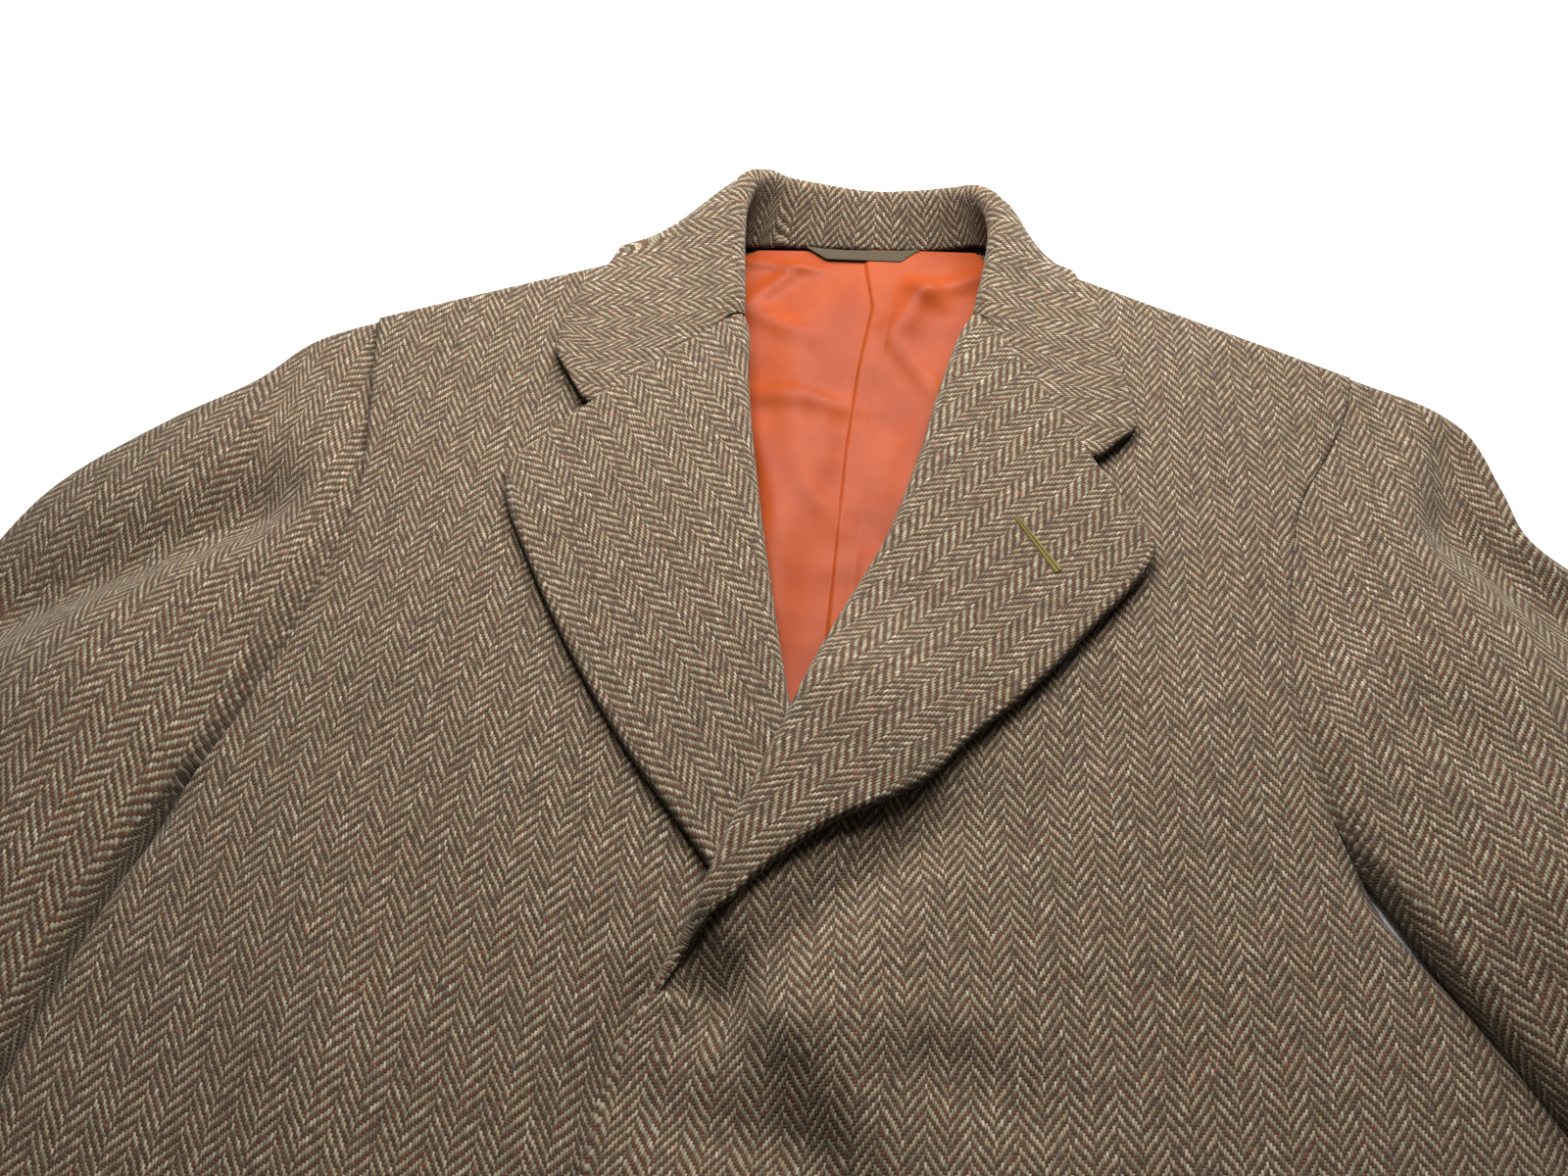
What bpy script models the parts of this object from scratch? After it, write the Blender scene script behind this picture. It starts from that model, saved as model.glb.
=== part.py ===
"""A single-breasted herringbone tweed overcoat, laid flat on its back.

The pieces are cut and laid as a tailor would: one back, two fronts whose lapels roll
open, a facing over each lapel, a one-piece collar with its stand and fall, two-piece
sleeves and, where the neck opening shows them, the back lining and the hanger loop.
+X is the wearer's left, +Y runs up to the neck and +Z is up from the table.
Plans and sizes are in millimetres, measured from the nape, the middle of the back
neck seam. The finished coat is then centred on its own box, in metres.
"""

import bmesh
import bpy
import numpy as np

for old in list(bpy.data.objects):
    bpy.data.objects.remove(old)
collection = bpy.data.collections.new("tweed_overcoat")
bpy.context.scene.collection.children.link(collection)

MM = 0.001

# Cloth and making
CLOTH = 2.2  # wall of the tweed in the fronts, back and sleeves
FACING_CLOTH = 2.0
COLLAR_CLOTH = 4.2  # upper collar and under collar, sewn together
LINING_CLOTH = 1.0
LOOP_CLOTH = 1.2
SEAM = 0.4  # clear gap between the two parts of a sleeve at their seam
ARMHOLE_SEAM = 0.9  # the same at an armhole and a side seam, where the two run in curves
GORGE_SEAM = 0.7  # the same between the collar's ends and the lapels
FACING_GAP = 0.3  # between a lapel and its facing
REST = CLOTH / 2  # middle of a cloth that lies on the table
HEM_GAP = 0.6  # from the table to the end of a turned-down edge
ROLL_RADIUS = 3.6  # of the lapel's fold at the gorge, to the middle of the cloth
BREAK_RADIUS = 2.2  # of the same fold where it ends in the front edge
COLLAR_ROLL = 4.4
LAPEL_LIFT = 1.8  # air under a lapel's outer edge
COLLAR_LIFT = 0.8  # air under the collar's outer edge
SHOULDER_SEAM = 10.5  # height of the shoulder seam, on the far side of the ridge

# Height of the fronts' cloth above the table, along the coat
HEIGHT_ALONG = [
    # y, height
    (-1130, 8.0),
    (-760, 9.5),
    (-470, 11.5),
    (-320, 12.5),
    (-210, 13.5),
    (-130, 16.0),
    (-60, 19.0),
    (40, 19.0),
]

# Soft folds of the fronts: ridges where the rise is above 0, troughs where it is below
FRONT_FOLDS = [
    # x1, y1, x2, y2, half_width, rise
    (-205, -330, -120, -760, 26, 2.6),
    (-150, -170, -205, -300, 20, 1.6),
    (-60, -520, -40, -1050, 30, 2.0),
    (95, -420, 150, -800, 28, 2.8),
    (165, -110, 150, -250, 15, -1.8),
    (20, -405, 130, -470, 20, 2.0),
    (215, -560, 235, -1000, 28, 2.4),
    (-230, -620, -262, -1040, 24, 2.2),
]

# Plan of each front, from the shoulder seam to the hem: the inner edge is neckline, roll
# line and front edge, the outer edge is armhole and side seam.
RIGHT_FRONT = [
    # inner_x, inner_y, outer_x, outer_y
    (-84, -3, -246, -73),
    (-88, -30, -241, -105),
    (-77, -54, -235, -140),
    (-62, -66, -230, -172),
    (-56, -108, -231, -212),
    (-48, -155, -236, -248),
    (-38, -205, -249, -298),
    (-27, -255, -262, -335),
    (-15, -305, -276, -385),
    (-4, -355, -286, -440),
    (8, -412, -292, -500),
    (22, -465, -297, -560),
    (30, -540, -303, -640),
    (32, -740, -316, -800),
    (31, -1114, -334, -1098),
]
LEFT_FRONT = [
    (84, -3, 243, -71),
    (86, -24, 237, -98),
    (74, -44, 224, -126),
    (58, -56, 211, -150),
    (44.5, -97, 203, -184),
    (34.5, -144, 198, -224),
    (22, -190, 197, -258),
    (3.6, -234, 201, -294),
    (-13.5, -285, 210, -326),
    (-34, -343, 230, -366),
    (-45, -377, 249, -395),
    (-59, -406, 267, -424),
    (-70, -440, 283, -462),
    (-74, -500, 291, -530),
    (-76, -720, 309, -740),
    (-76, -1116, 336, -1098),
]
FRONT = {-1: RIGHT_FRONT, 1: LEFT_FRONT}  # by side, -1 the wearer's right
GORGE_ROW = 3  # where the roll line starts
BREAK_ROW = {-1: 10, 1: 11}  # where the roll line runs out into the front edge
UNDERARM_ROW = {-1: 7, 1: 8}
ROWS_ABOVE, ROWS_OF_LAPEL, ROWS_BELOW = 5, 15, 11  # rows to the gorge, of the lapel and below
WRAP = 4  # points round a turned-down side or shoulder
ACROSS = 11  # steps across a front
ROUND_ROLL = 6  # points round a lapel's fold
LAPEL_ACROSS = 7  # steps from the fold to the lapel's edge
ON_ROW = 1e-6  # rows this close to a whole one are on it

# Each lapel: its top edge (gorge seam, notch, tip), then its outer edge down to the break
LAPEL_TOP = {
    -1: [(-62, -66), (-100, -101), (-129, -129), (-160, -165)],
    1: [(58, -56), (87, -99), (112, -142), (138, -183)],
}
LAPEL_EDGE = {
    -1: [
        (-160, -165), (-156, -184), (-139, -219), (-114, -262), (-84, -305), (-47, -349),
        (-20, -384), (4, -414),
    ],
    1: [
        (138, -183), (136, -192), (126, -209), (108, -232), (92, -253), (74, -273), (57, -290),
        (39.5, -312), (20, -327), (3.6, -337), (-14, -352), (-29, -369), (-38, -381), (-47, -402),
    ],
}

# How far the left front is lifted by what lies under it
OVERLAP_LIFT = 2.9
CROSSING_LIFT = 10.5

# The collar, from its right front end round the nape to its left front end
COLLAR = [
    # neck seam x, y, z; roll x, y, z; outer edge x, y, z; share that lies on a front
    (-68.4, -58.6, 19.0, -62.8, -64.6, 23.2, -151, -95, 24.0, 1.0),
    (-75.5, -51.5, 19.0, -62.5, -54, 26.0, -149, -76, 24.0, 1.0),
    (-86.0, -34, 19.3, -64.5, -32, 31.0, -143, -52, 24.0, 1.0),
    (-84.0, -18, 18.5, -67.0, -10, 36.0, -135, -31, 22.0, 0.8),
    (-80.0, -9, 15.0, -68.0, 6, 39.5, -133, -15, 20.0, 0.3),
    (-73.0, -3.5, 11.6, -65, 20, 41.0, -127, -6, 14.5, 0.0),
    (-61.0, -0.6, 9.8, -56, 28, 37.0, -104, -5, 4.5, 0.0),
    (-45.0, 1.2, 9.2, -46, 31, 30.0, -62, -12, 2.2, 0.0),
    (-24.0, 2.6, 8.9, -26, 33, 24.5, -31, -13, 2.2, 0.0),
    (0.0, 3.2, 8.9, -1, 33, 21.5, 0, -13, 2.2, 0.0),
    (24.0, 4.4, 8.9, 24, 33, 24.0, 30, -12, 2.2, 0.0),
    (45.0, 7.4, 9.6, 44, 32, 29.0, 60, -9, 2.2, 0.0),
    (60.0, 9.6, 11.2, 55, 27, 35.5, 84, -6, 3.0, 0.0),
    (72.0, 5.5, 12.6, 62, 17, 38.5, 103, -4, 9.5, 0.0),
    (79.5, -2, 15.6, 64.5, 4, 37.0, 112, -9, 17.5, 0.3),
    (83.0, -14, 18.5, 64, -10, 34.0, 115, -26, 22.0, 0.8),
    (84.0, -26, 19.3, 62, -25, 30.0, 118, -46, 24.0, 1.0),
    (74.0, -41.5, 19.0, 59.5, -42, 26.0, 126, -76, 24.0, 1.0),
    (65.0, -48.4, 19.0, 58.8, -54.8, 23.2, 136, -118, 24.0, 1.0),
]

STATIONS = 33
STAND = 3  # points from the neck seam up to the fold
OVER = 6  # points over the fold
FALL = 8  # points from the fold to the outer edge
END_STATIONS = 9  # stations over which the collar's ends turn to the gorge seams
NOTCH_SHARE = 0.75  # of the fall's width: where its end leaves the gorge seam

# Back of the armholes, from the shoulder point to the underarm
BACK_ARMHOLE = {
    -1: [(-246, -73), (-243, -130), (-243, -200), (-250, -275), (-262, -335)],
    1: [(243, -71), (238, -128), (228, -198), (214, -268), (210, -326)],
}
BACK_NECK_LIFT = 6.2  # the collar's fall lies between the back and the table
BACK_TOP = [  # shoulders and back neck
    (-246, -73), (-196, -51.4), (-150, -31.5), (-112, -15), (-84, -4.6), (-73, -3.0), (-61, -1.4),
    (-45, 0.6), (-24, 2.0), (0, 2.6), (24, 3.8), (45, 6.2), (60, 6.4), (71, 2.6), (84, -4.8),
    (112, -15), (150, -31.5), (196, -50.5), (243, -71),
]

BACK_ROWS = (8, 14)  # rows of the armhole and of the side seam
SEAM_OVERLAP = 0.9  # how far the back's shoulder stays below the front's
HEM_DIP = 16  # the hem's middle below its ends

# Each sleeve, from the armhole to the cuff
SLEEVE = {
    -1: [
        # outer_x, outer_y, inner_x, inner_y, edge_radius, crown
        (-247.5, -73.5, -265.2, -336, 8.9, 0.0),
        (-272, -92, -272.6, -360, 10.0, 3.0),
        (-291, -121, -279.2, -386, 10.5, 6.0),
        (-325, -151, -284.6, -412, 10.5, 8.0),
        (-366, -196, -290, -442, 10.5, 9.0),
        (-386, -246, -300, -482, 10.0, 9.0),
        (-432, -335, -342, -545, 9.5, 7.0),
        (-490, -435, -387, -611, 8.5, 5.5),
        (-550, -538, -431, -670, 7.5, 4.0),
        (-611, -641, -473, -727, 6.5, 2.5),
    ],
    1: [
        (244.5, -71.5, 213.2, -327, 8.9, 0.0),
        (268, -84, 226.5, -350, 10.0, 3.0),
        (290, -104, 241, -375, 10.5, 6.0),
        (299, -138, 257, -399, 10.5, 8.0),
        (305, -166, 274, -425, 10.5, 9.0),
        (333, -194, 294, -452, 10.0, 9.0),
        (402, -290, 347, -510, 9.5, 7.0),
        (478, -392, 399, -573, 8.5, 5.5),
        (553, -490, 449, -631, 7.5, 4.0),
        (627, -587, 499, -687, 6.5, 2.5),
    ],
}
SLEEVE_FOLDS = {
    -1: [
        # x1, y1, x2, y2, half_width, rise
        (-262, -196, -400, -262, 20, -9.0),
        (-262, -158, -372, -196, 18, 4.0),
        (-285, -290, -360, -330, 26, 3.0),
        (-395, -300, -350, -480, 16, -4.5),
        (-520, -520, -440, -590, 16, -4.0),
    ],
    1: [
        (284, -112, 276, -172, 10, -7.0),
        (276, -168, 322, -226, 12, -8.0),
        (226, -262, 282, -292, 16, -4.0),
        (262, -330, 340, -400, 22, 3.0),
        (390, -340, 352, -470, 16, -4.5),
        (520, -480, 450, -560, 16, -4.0),
    ],
}
SEAM_RETURN = 9.0  # the top sleeve's width under the sleeve, at each long seam
RINGS = 17
ROUND_EDGE = 6  # points round a sleeve's long edge
CROWN_ACROSS = 9  # points across the sleeve's top
UNDER_ACROSS = 5  # points across the under sleeve
BOWED_RINGS = 6  # rings over which the armhole's curve fades out
ARMHOLE_POINTS = 60

# The back lining with its pleat and wrinkles, and the loop under the collar seam
LINING_LIFT = 0.8  # air under the lining
LINING_ROWS = [
    # right_x, right_y, left_x, left_y
    (-59, -2.6, 58, 5.0),
    (-82, -22, 79, -18),
    (-118, -60, 110, -60),
    (-124, -150, 116, -150),
    (-122, -345, 112, -345),
]
LINING_FOLDS = [
    # x1, y1, x2, y2, half_width, rise
    (3, -40, -6, -320, 4.5, 2.2),
    (-40, -70, -30, -250, 14, 1.8),
    (-64, -36, -12, -44, 7, 1.2),
    (30, -50, 22, -180, 10, 1.5),
]
LOOP_PATH = [(-29, -1.8), (-22, -3.2), (-12, -3.2), (0, -2.5), (12, -1.8), (19, -1.0), (25, 0.6)]
LOOP_WIDTH = 6.0

# Colour and roughness of each cloth
TWEED = (0.165, 0.105, 0.082), 0.9
SATIN = (0.62, 0.13, 0.045), 0.4
LOOP_SATIN = (0.075, 0.055, 0.03), 0.5


def hermite(table, at):
    """Smooth curve through a table's rows; `at` counts rows and 0 is the first."""
    points = np.asarray(table, float)
    at = np.clip(np.asarray(at, float), 0, len(points) - 1)
    gaps = np.linalg.norm(np.diff(points, axis=0), axis=1)[:, None]
    slopes = np.diff(points, axis=0) / gaps
    before, after = np.vstack([slopes[:1], slopes]), np.vstack([slopes, slopes[-1:]])
    gap_before, gap_after = np.vstack([gaps[:1], gaps]), np.vstack([gaps, gaps[-1:]])
    tangents = (gap_after * before + gap_before * after) / (gap_after + gap_before)
    row = np.minimum(at.astype(int), len(points) - 2)
    t = (at - row)[:, None]
    leave, arrive = tangents[row] * gaps[row], tangents[row + 1] * gaps[row]
    ends = points[row] * (2 * t**3 - 3 * t**2 + 1) + points[row + 1] * (3 * t**2 - 2 * t**3)
    return ends + leave * (t**3 - 2 * t**2 + t) + arrive * (t**3 - t**2)


def evenly(table, count):
    """`count` points of the same curve, at even steps along it."""
    fine = np.linspace(0, len(table) - 1, 400)
    steps = np.linalg.norm(np.diff(hermite(table, fine), axis=0), axis=1)
    run = np.r_[0, np.cumsum(steps)]
    return hermite(table, np.interp(np.linspace(0, run[-1], count), run, fine))


def ease(low, high, value):
    """Smooth step: 0 at low and beyond, 1 at high and beyond; low may be the larger."""
    t = np.clip((value - low) / (high - low), 0, 1)
    return t * t * (3 - 2 * t)


def unit(vectors):
    return vectors / np.linalg.norm(vectors, axis=-1, keepdims=True)


def left_normal(curve):
    """Unit plan normals of a curve, to the left of its direction."""
    run = unit(np.gradient(curve, axis=0))
    return np.stack([-run[:, 1], run[:, 0]], axis=-1)


def folds(table, x, y):
    """Sum of soft ridges: each is a bell across its line and fades at both its ends."""
    rise = np.zeros_like(x)
    for x1, y1, x2, y2, half_width, height in table:
        run = np.array([x2 - x1, y2 - y1], float)
        length = np.hypot(*run)
        along = ((x - x1) * run[0] + (y - y1) * run[1]) / length**2
        across = ((x - x1) * run[1] - (y - y1) * run[0]) / length
        fade = ease(-0.15, 0.3, along) * ease(1.15, 0.7, along)
        rise += height * fade * np.exp(-((across / half_width) ** 2))
    return rise


def front_height(side, x, y):
    """Height of the middle of a front's cloth; the left front also clears what it laps."""
    rows = np.array(HEIGHT_ALONG, float)
    height = np.interp(y, rows[:, 0], rows[:, 1]) + folds(FRONT_FOLDS, x, y)
    if side < 0:
        return height
    overlap = ease(78, 40, x) * ease(-205, -284, y)
    crossing = ease(66, 12, x) * ease(-225, -282, y) * ease(-505, -415, y)
    return height + OVERLAP_LIFT * overlap + CROSSING_LIFT * crossing


def back_height(x, y):
    """Height of the middle of the back's cloth: flat, but raised over the collar's fall."""
    return REST + BACK_NECK_LIFT * ease(150, 122, abs(x)) * ease(-120, -30, y)


def bent_edge(radius, bend, count):
    """Run and drop, from the edge inwards, of cloth that turns down by a part of 90 degrees."""
    length = np.linspace(1, 0, count) * radius[:, None] * np.pi / 2
    curve = np.maximum(bend, 1e-3)[:, None] / radius[:, None]
    run, drop = np.sin(curve * length) / curve, (1 - np.cos(curve * length)) / curve
    return run[:, :1] - run, drop


def roll_radius(side, along):
    """Radius of the lapel's fold: full at the gorge, tight at the break, none beyond."""
    share = (along - GORGE_ROW) / (BREAK_ROW[side] - GORGE_ROW)
    radius = ROLL_RADIUS + (BREAK_RADIUS - ROLL_RADIUS) * share
    within = (along > GORGE_ROW - ON_ROW) & (along < BREAK_ROW[side] + ON_ROW)
    return np.where(within, radius, 0.0)


def front_rows(side):
    """Rows of a front: their place along the table, their two plan ends and the way outwards."""
    along = np.r_[
        np.linspace(0, GORGE_ROW, ROWS_ABOVE)[:-1],
        np.linspace(GORGE_ROW, BREAK_ROW[side], ROWS_OF_LAPEL)[:-1],
        np.linspace(BREAK_ROW[side], len(FRONT[side]) - 1, ROWS_BELOW),
    ]
    plan = hermite(FRONT[side], along)
    inner, outer = plan[:, :2], plan[:, 2:]
    away = left_normal(inner) * side
    return along, inner + away * roll_radius(side, along)[:, None], outer, away


def front_grid(side):
    """The front from outer to inner edge, with its sides and its shoulder turned down."""
    along, start, outer, _ = front_rows(side)
    inward = unit(start - outer)
    height = front_height(side, outer[:, 0], outer[:, 1])
    underarm = UNDERARM_ROW[side]
    reach, drop = bent_edge(height - HEM_GAP, ease(underarm - 0.2, underarm + 1.0, along), WRAP)
    wrap = outer[:, None] + inward[:, None] * reach[..., None]
    share = np.linspace(0, 1, ACROSS + 1)[None, 1:, None]
    flat = wrap[:, -1:] * (1 - share) + start[:, None] * share
    plan = np.concatenate([wrap, flat], axis=1)
    z = front_height(side, plan[..., 0], plan[..., 1])
    z[:, :WRAP] -= drop
    # The shoulder: the first row becomes several that turn down over the ridge.
    down = unit(plan[1] - plan[0])
    radius = z[0] - SHOULDER_SEAM
    reach, drop = bent_edge(radius, np.ones_like(radius), WRAP)
    ridge = plan[0] + down * reach.T[..., None]
    ridge_z = front_height(side, ridge[..., 0], ridge[..., 1]) - drop.T
    plan, z = np.concatenate([ridge, plan[1:]]), np.concatenate([ridge_z, z[1:]])
    return np.dstack([plan, z])


def lapel_grid(side):
    """The turned-back lapel of a front: round the roll, then out to its edge."""
    along, start, _, away = front_rows(side)
    radius = roll_radius(side, along)
    rows = radius > 0
    start, away, radius = start[rows], away[rows], radius[rows]
    count = len(start)
    edge = evenly(LAPEL_EDGE[side], count)
    turn = np.linspace(0, np.pi, ROUND_ROLL)
    roll = start[:, None] - away[:, None] * (radius[:, None] * np.sin(turn))[..., None]
    base = front_height(side, start[:, 0], start[:, 1])[:, None]
    roll_z = base + radius[:, None] * (1 - np.cos(turn))
    share = np.linspace(0, 1, LAPEL_ACROSS + 1)[1:]
    flat = start[:, None] * (1 - share[:, None]) + edge[:, None] * share[:, None]
    top = evenly(LAPEL_TOP[side], LAPEL_ACROSS + 1)[1:] - flat[0]
    flat += top * ((1 - np.linspace(0, 1, count)) ** 3)[:, None, None]
    lift = LAPEL_LIFT + (2 * radius[:, None] - CLOTH - LAPEL_LIFT) * (1 - share) ** 2
    flat_z = front_height(side, flat[..., 0], flat[..., 1]) + CLOTH + lift
    return np.dstack([np.concatenate([roll, flat], axis=1), np.concatenate([roll_z, flat_z], axis=1)])


def moved_out(grid, distance):
    """The same grid moved along its own normals."""
    down, across = np.gradient(grid, axis=0), np.gradient(grid, axis=1)
    return grid + unit(np.cross(across, down)) * distance


def facing_grid(side):
    """The facing: inside the roll, round it and over the lapel, just off the front's cloth."""
    along = front_rows(side)[0]
    rows = np.flatnonzero(roll_radius(side, along) > 0)
    # The front's grid has more rows at the shoulder, and its columns run inwards.
    front = front_grid(side)[rows + WRAP - 1]
    grid = np.concatenate([front[:, -2:-1], lapel_grid(side)], axis=1)
    gap = CLOTH / 2 + FACING_GAP + FACING_CLOTH / 2
    return moved_out(grid, -gap * side)


def collar_grid():
    """The collar: at each station the stand, the roll and the fall."""
    stations = hermite(COLLAR, np.linspace(0, len(COLLAR) - 1, STATIONS))
    neck, roll, edge, on_front = stations[:, :3], stations[:, 3:6], stations[:, 6:9], stations[:, 9:]
    up = unit(roll - neck)
    out = unit(np.cross(up, np.gradient(roll, axis=0)))
    centre = roll - up * COLLAR_ROLL
    share = np.linspace(0, 1, STAND + 1)[:-1, None]
    stand = neck[:, None] * (1 - share) + (centre - out * COLLAR_ROLL)[:, None] * share
    turn = np.linspace(0, np.pi, OVER)[:, None]
    fold = centre[:, None] + (up[:, None] * np.sin(turn) - out[:, None] * np.cos(turn)) * COLLAR_ROLL
    t = np.linspace(0, 1, FALL + 1)[1:, None]
    first, last = fold[:, -1], edge
    chord = last - first
    length = np.linalg.norm(chord, axis=1, keepdims=True)
    flat_back = chord * (-1, -1, 0) / np.linalg.norm(chord[:, :2], axis=1, keepdims=True)
    second, third = first + (out * 0.2 - up * 0.14) * length, last + flat_back * length * 0.5
    fall = (
        first[:, None] * (1 - t) ** 3
        + second[:, None] * 3 * t * (1 - t) ** 2
        + third[:, None] * 3 * t**2 * (1 - t)
        + last[:, None] * t**3
    )
    fall = on_the_fronts(fall, first, last, on_front, t)
    return np.concatenate([stand, fold, fall], axis=1)


def near_end(side):
    """Share by which each station follows its gorge seam: 1 at that end, 0 a few on."""
    from_end = np.arange(STATIONS)[::-side]
    return np.clip(1 - from_end / END_STATIONS, 0, 1) ** 2


def on_the_fronts(fall, first, last, on_front, t):
    """The fall's part that lies on a front, and its ends along the gorge seams."""
    straight = first[:, None] * (1 - t) + last[:, None] * t
    plan = fall[..., :2] * (1 - on_front[:, None]) + straight[..., :2] * on_front[:, None]
    for side, end in ((-1, 0), (1, -1)):
        top = np.array(LAPEL_TOP[side], float)
        notch = top[2]
        seam = unit(notch - top[0])
        corner = notch - np.array([seam[1], -seam[0]]) * side * GORGE_SEAM
        knots = (0, NOTCH_SHARE, 1)
        line = np.vstack([first[end, :2], corner, last[end, :2]])
        target = np.stack([np.interp(t[:, 0], knots, line[:, k]) for k in (0, 1)], axis=-1)
        plan = plan + (target - plan[end]) * near_end(side)[:, None, None]
    x, y = plan[..., 0], plan[..., 1]
    rest = np.where(x < 0, front_height(-1, x, y), front_height(1, x, y))
    rest = rest + CLOTH / 2 + COLLAR_LIFT + COLLAR_CLOTH / 2
    settle = rest + (first[:, None, 2] - rest[:, :1]) * (1 - t[:, 0]) ** 2.5
    z = fall[..., 2] * (1 - on_front) + settle * on_front
    return np.dstack([plan, z])


def back_grid():
    """The back: armholes and side seams just inside the fronts', shoulders turned up."""
    sides = {}
    for side in (-1, 1):
        armhole = evenly(BACK_ARMHOLE[side], BACK_ROWS[0])
        table = [row[2:] for row in FRONT[side]]
        seam = hermite(table, np.linspace(UNDERARM_ROW[side], len(table) - 1, BACK_ROWS[1]))
        seam = seam - left_normal(seam) * side * (CLOTH / 2 + ARMHOLE_SEAM)
        sides[side] = np.vstack([armhole[:-1], seam])
    right, left = sides[-1], sides[1]
    top = np.array(BACK_TOP)
    share = ((top[:, 0] - top[0, 0]) / (top[-1, 0] - top[0, 0]))[None, :, None]
    plan = right[:, None] * (1 - share) + left[:, None] * share
    bow = top[:, 1] - plan[0, :, 1]
    rows = np.linspace(0, 1, len(right))
    plan[..., 1] += bow * (np.clip(1 - rows / 0.5, 0, 1) ** 2)[:, None]
    plan[..., 1] -= HEM_DIP * (4 * share[..., 0] * (1 - share[..., 0])) * (rows[:, None] ** 8)
    z = back_height(plan[..., 0], plan[..., 1])
    down = unit(plan[1] - plan[0])
    radius = np.maximum(SHOULDER_SEAM - SEAM_OVERLAP - z[0], 1.0)
    bend = ease(84, 100, abs(plan[0, :, 0]))
    reach, drop = bent_edge(radius, bend, WRAP)
    curl = plan[0] + down * reach.T[..., None]
    curl_z = back_height(curl[..., 0], curl[..., 1]) + drop.T
    return np.dstack([np.concatenate([curl, plan[1:]]), np.concatenate([curl_z, z[1:]])])


def sleeve_grids(side):
    """Top sleeve and under sleeve: rings from the armhole to the cuff, flat below."""
    rows = hermite(SLEEVE[side], np.linspace(0, len(SLEEVE[side]) - 1, RINGS))
    outer, inner, radius, crown = rows[:, :2], rows[:, 2:4], rows[:, 4], rows[:, 5]
    front_side = [row[2:] for row in FRONT[side]]
    armholes = {
        "top": evenly(front_side[: UNDERARM_ROW[side] + 1], ARMHOLE_POINTS),
        "under": evenly(BACK_ARMHOLE[side], ARMHOLE_POINTS),
    }
    width = np.linalg.norm(inner - outer, axis=1)
    inward = unit(inner - outer)
    fade = np.clip(1 - np.arange(RINGS) / BOWED_RINGS, 0, 1) ** 2
    turn = np.linspace(-np.pi / 2, np.pi / 2, ROUND_EDGE)
    across = np.linspace(0, 1, CROWN_ACROSS)[1:-1]
    edge_run = radius[:, None] * (1 - np.cos(turn))
    edge_z = radius[:, None] * (1 + np.sin(turn))
    flat_run = radius[:, None] + (width - 2 * radius)[:, None] * across
    flat_z = 2 * radius[:, None] + crown[:, None] * 4 * across * (1 - across)
    back_edge = np.full((RINGS, 1), SEAM_RETURN) + radius[:, None]
    far_run = (width[:, None] - edge_run)[:, ::-1]
    run = np.hstack([back_edge, edge_run, flat_run, far_run, width[:, None] - back_edge])
    z = np.hstack([back_edge * 0, edge_z, flat_z, edge_z[:, ::-1], back_edge * 0])
    top = sleeve_points(side, outer, inward, width, run, z, 2 * radius, fade, armholes)
    lift = folds(SLEEVE_FOLDS[side], top[..., 0], top[..., 1])
    middle = np.zeros_like(lift)
    middle[:, ROUND_EDGE + 1 : -ROUND_EDGE - 1] = np.sin(np.pi * across) ** 0.5
    top[..., 2] += lift * middle * ease(0, 3, np.arange(RINGS))[:, None]
    gap = back_edge + 2 * SEAM
    share = np.linspace(0, 1, UNDER_ACROSS)
    run = gap + (width[:, None] - 2 * gap) * share
    under = sleeve_points(side, outer, inward, width, run, run * 0, 2 * radius, fade, armholes)
    return top, under


def sleeve_points(side, outer, inward, width, run, z, high, fade, armholes):
    """Ring points: along each row by `run`, bowed to the armholes, at height z."""
    share = np.clip(run / width[:, None], 0, 1)
    plan = outer[:, None] + inward[:, None] * run[..., None]
    level = np.clip(z / high[:, None], 0, 1)[..., None]
    steps = np.linspace(0, 1, ARMHOLE_POINTS)
    chord = outer[0] + inward[0] * width[0] * steps[:, None]
    bow = 0
    for name, weight in (("top", level), ("under", 1 - level)):
        curve = armholes[name]
        away = ARMHOLE_SEAM + CLOTH * (ease(0.86, 1, steps) + 0.3 * ease(0.14, 0, steps))[:, None]
        off = curve + left_normal(curve) * side * away - chord
        bow = bow + weight * np.stack([np.interp(share, steps, off[:, k]) for k in (0, 1)], axis=-1)
    plan = plan + bow * fade[:, None, None]
    seam_z = np.minimum(z / high[:, None], 1) * (front_height(side, plan[..., 0], plan[..., 1]) - REST)
    start = ease(0, 2.5, np.arange(len(outer)))[:, None]
    return np.dstack([plan, REST + z * start + seam_z * (1 - start)])


def lining_grid():
    """The back lining, on the back, with its soft centre pleat."""
    rows = hermite(LINING_ROWS, np.linspace(0, len(LINING_ROWS) - 1, 12))
    share = np.linspace(0, 1, 13)
    x = rows[:, :1] * (1 - share) + rows[:, 2:3] * share
    y = rows[:, 1:2] * (1 - share) + rows[:, 3:] * share
    z = back_height(x, y) + CLOTH / 2 + LINING_LIFT + LINING_CLOTH / 2 + folds(LINING_FOLDS, x, y)
    return np.dstack([x, y, z])


def loop_grid():
    """The hanger loop: a flat strap that hangs in a shallow curve under the seam."""
    middle = evenly(LOOP_PATH, 12)
    across = left_normal(middle)[:, None] * np.array([-0.5, 0.5])[None, :, None] * LOOP_WIDTH
    plan = middle[:, None] + across
    z = back_height(plan[..., 0], plan[..., 1]) + CLOTH / 2 + LINING_LIFT + LINING_CLOTH + LOOP_CLOTH
    return np.dstack([plan, z])


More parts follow.
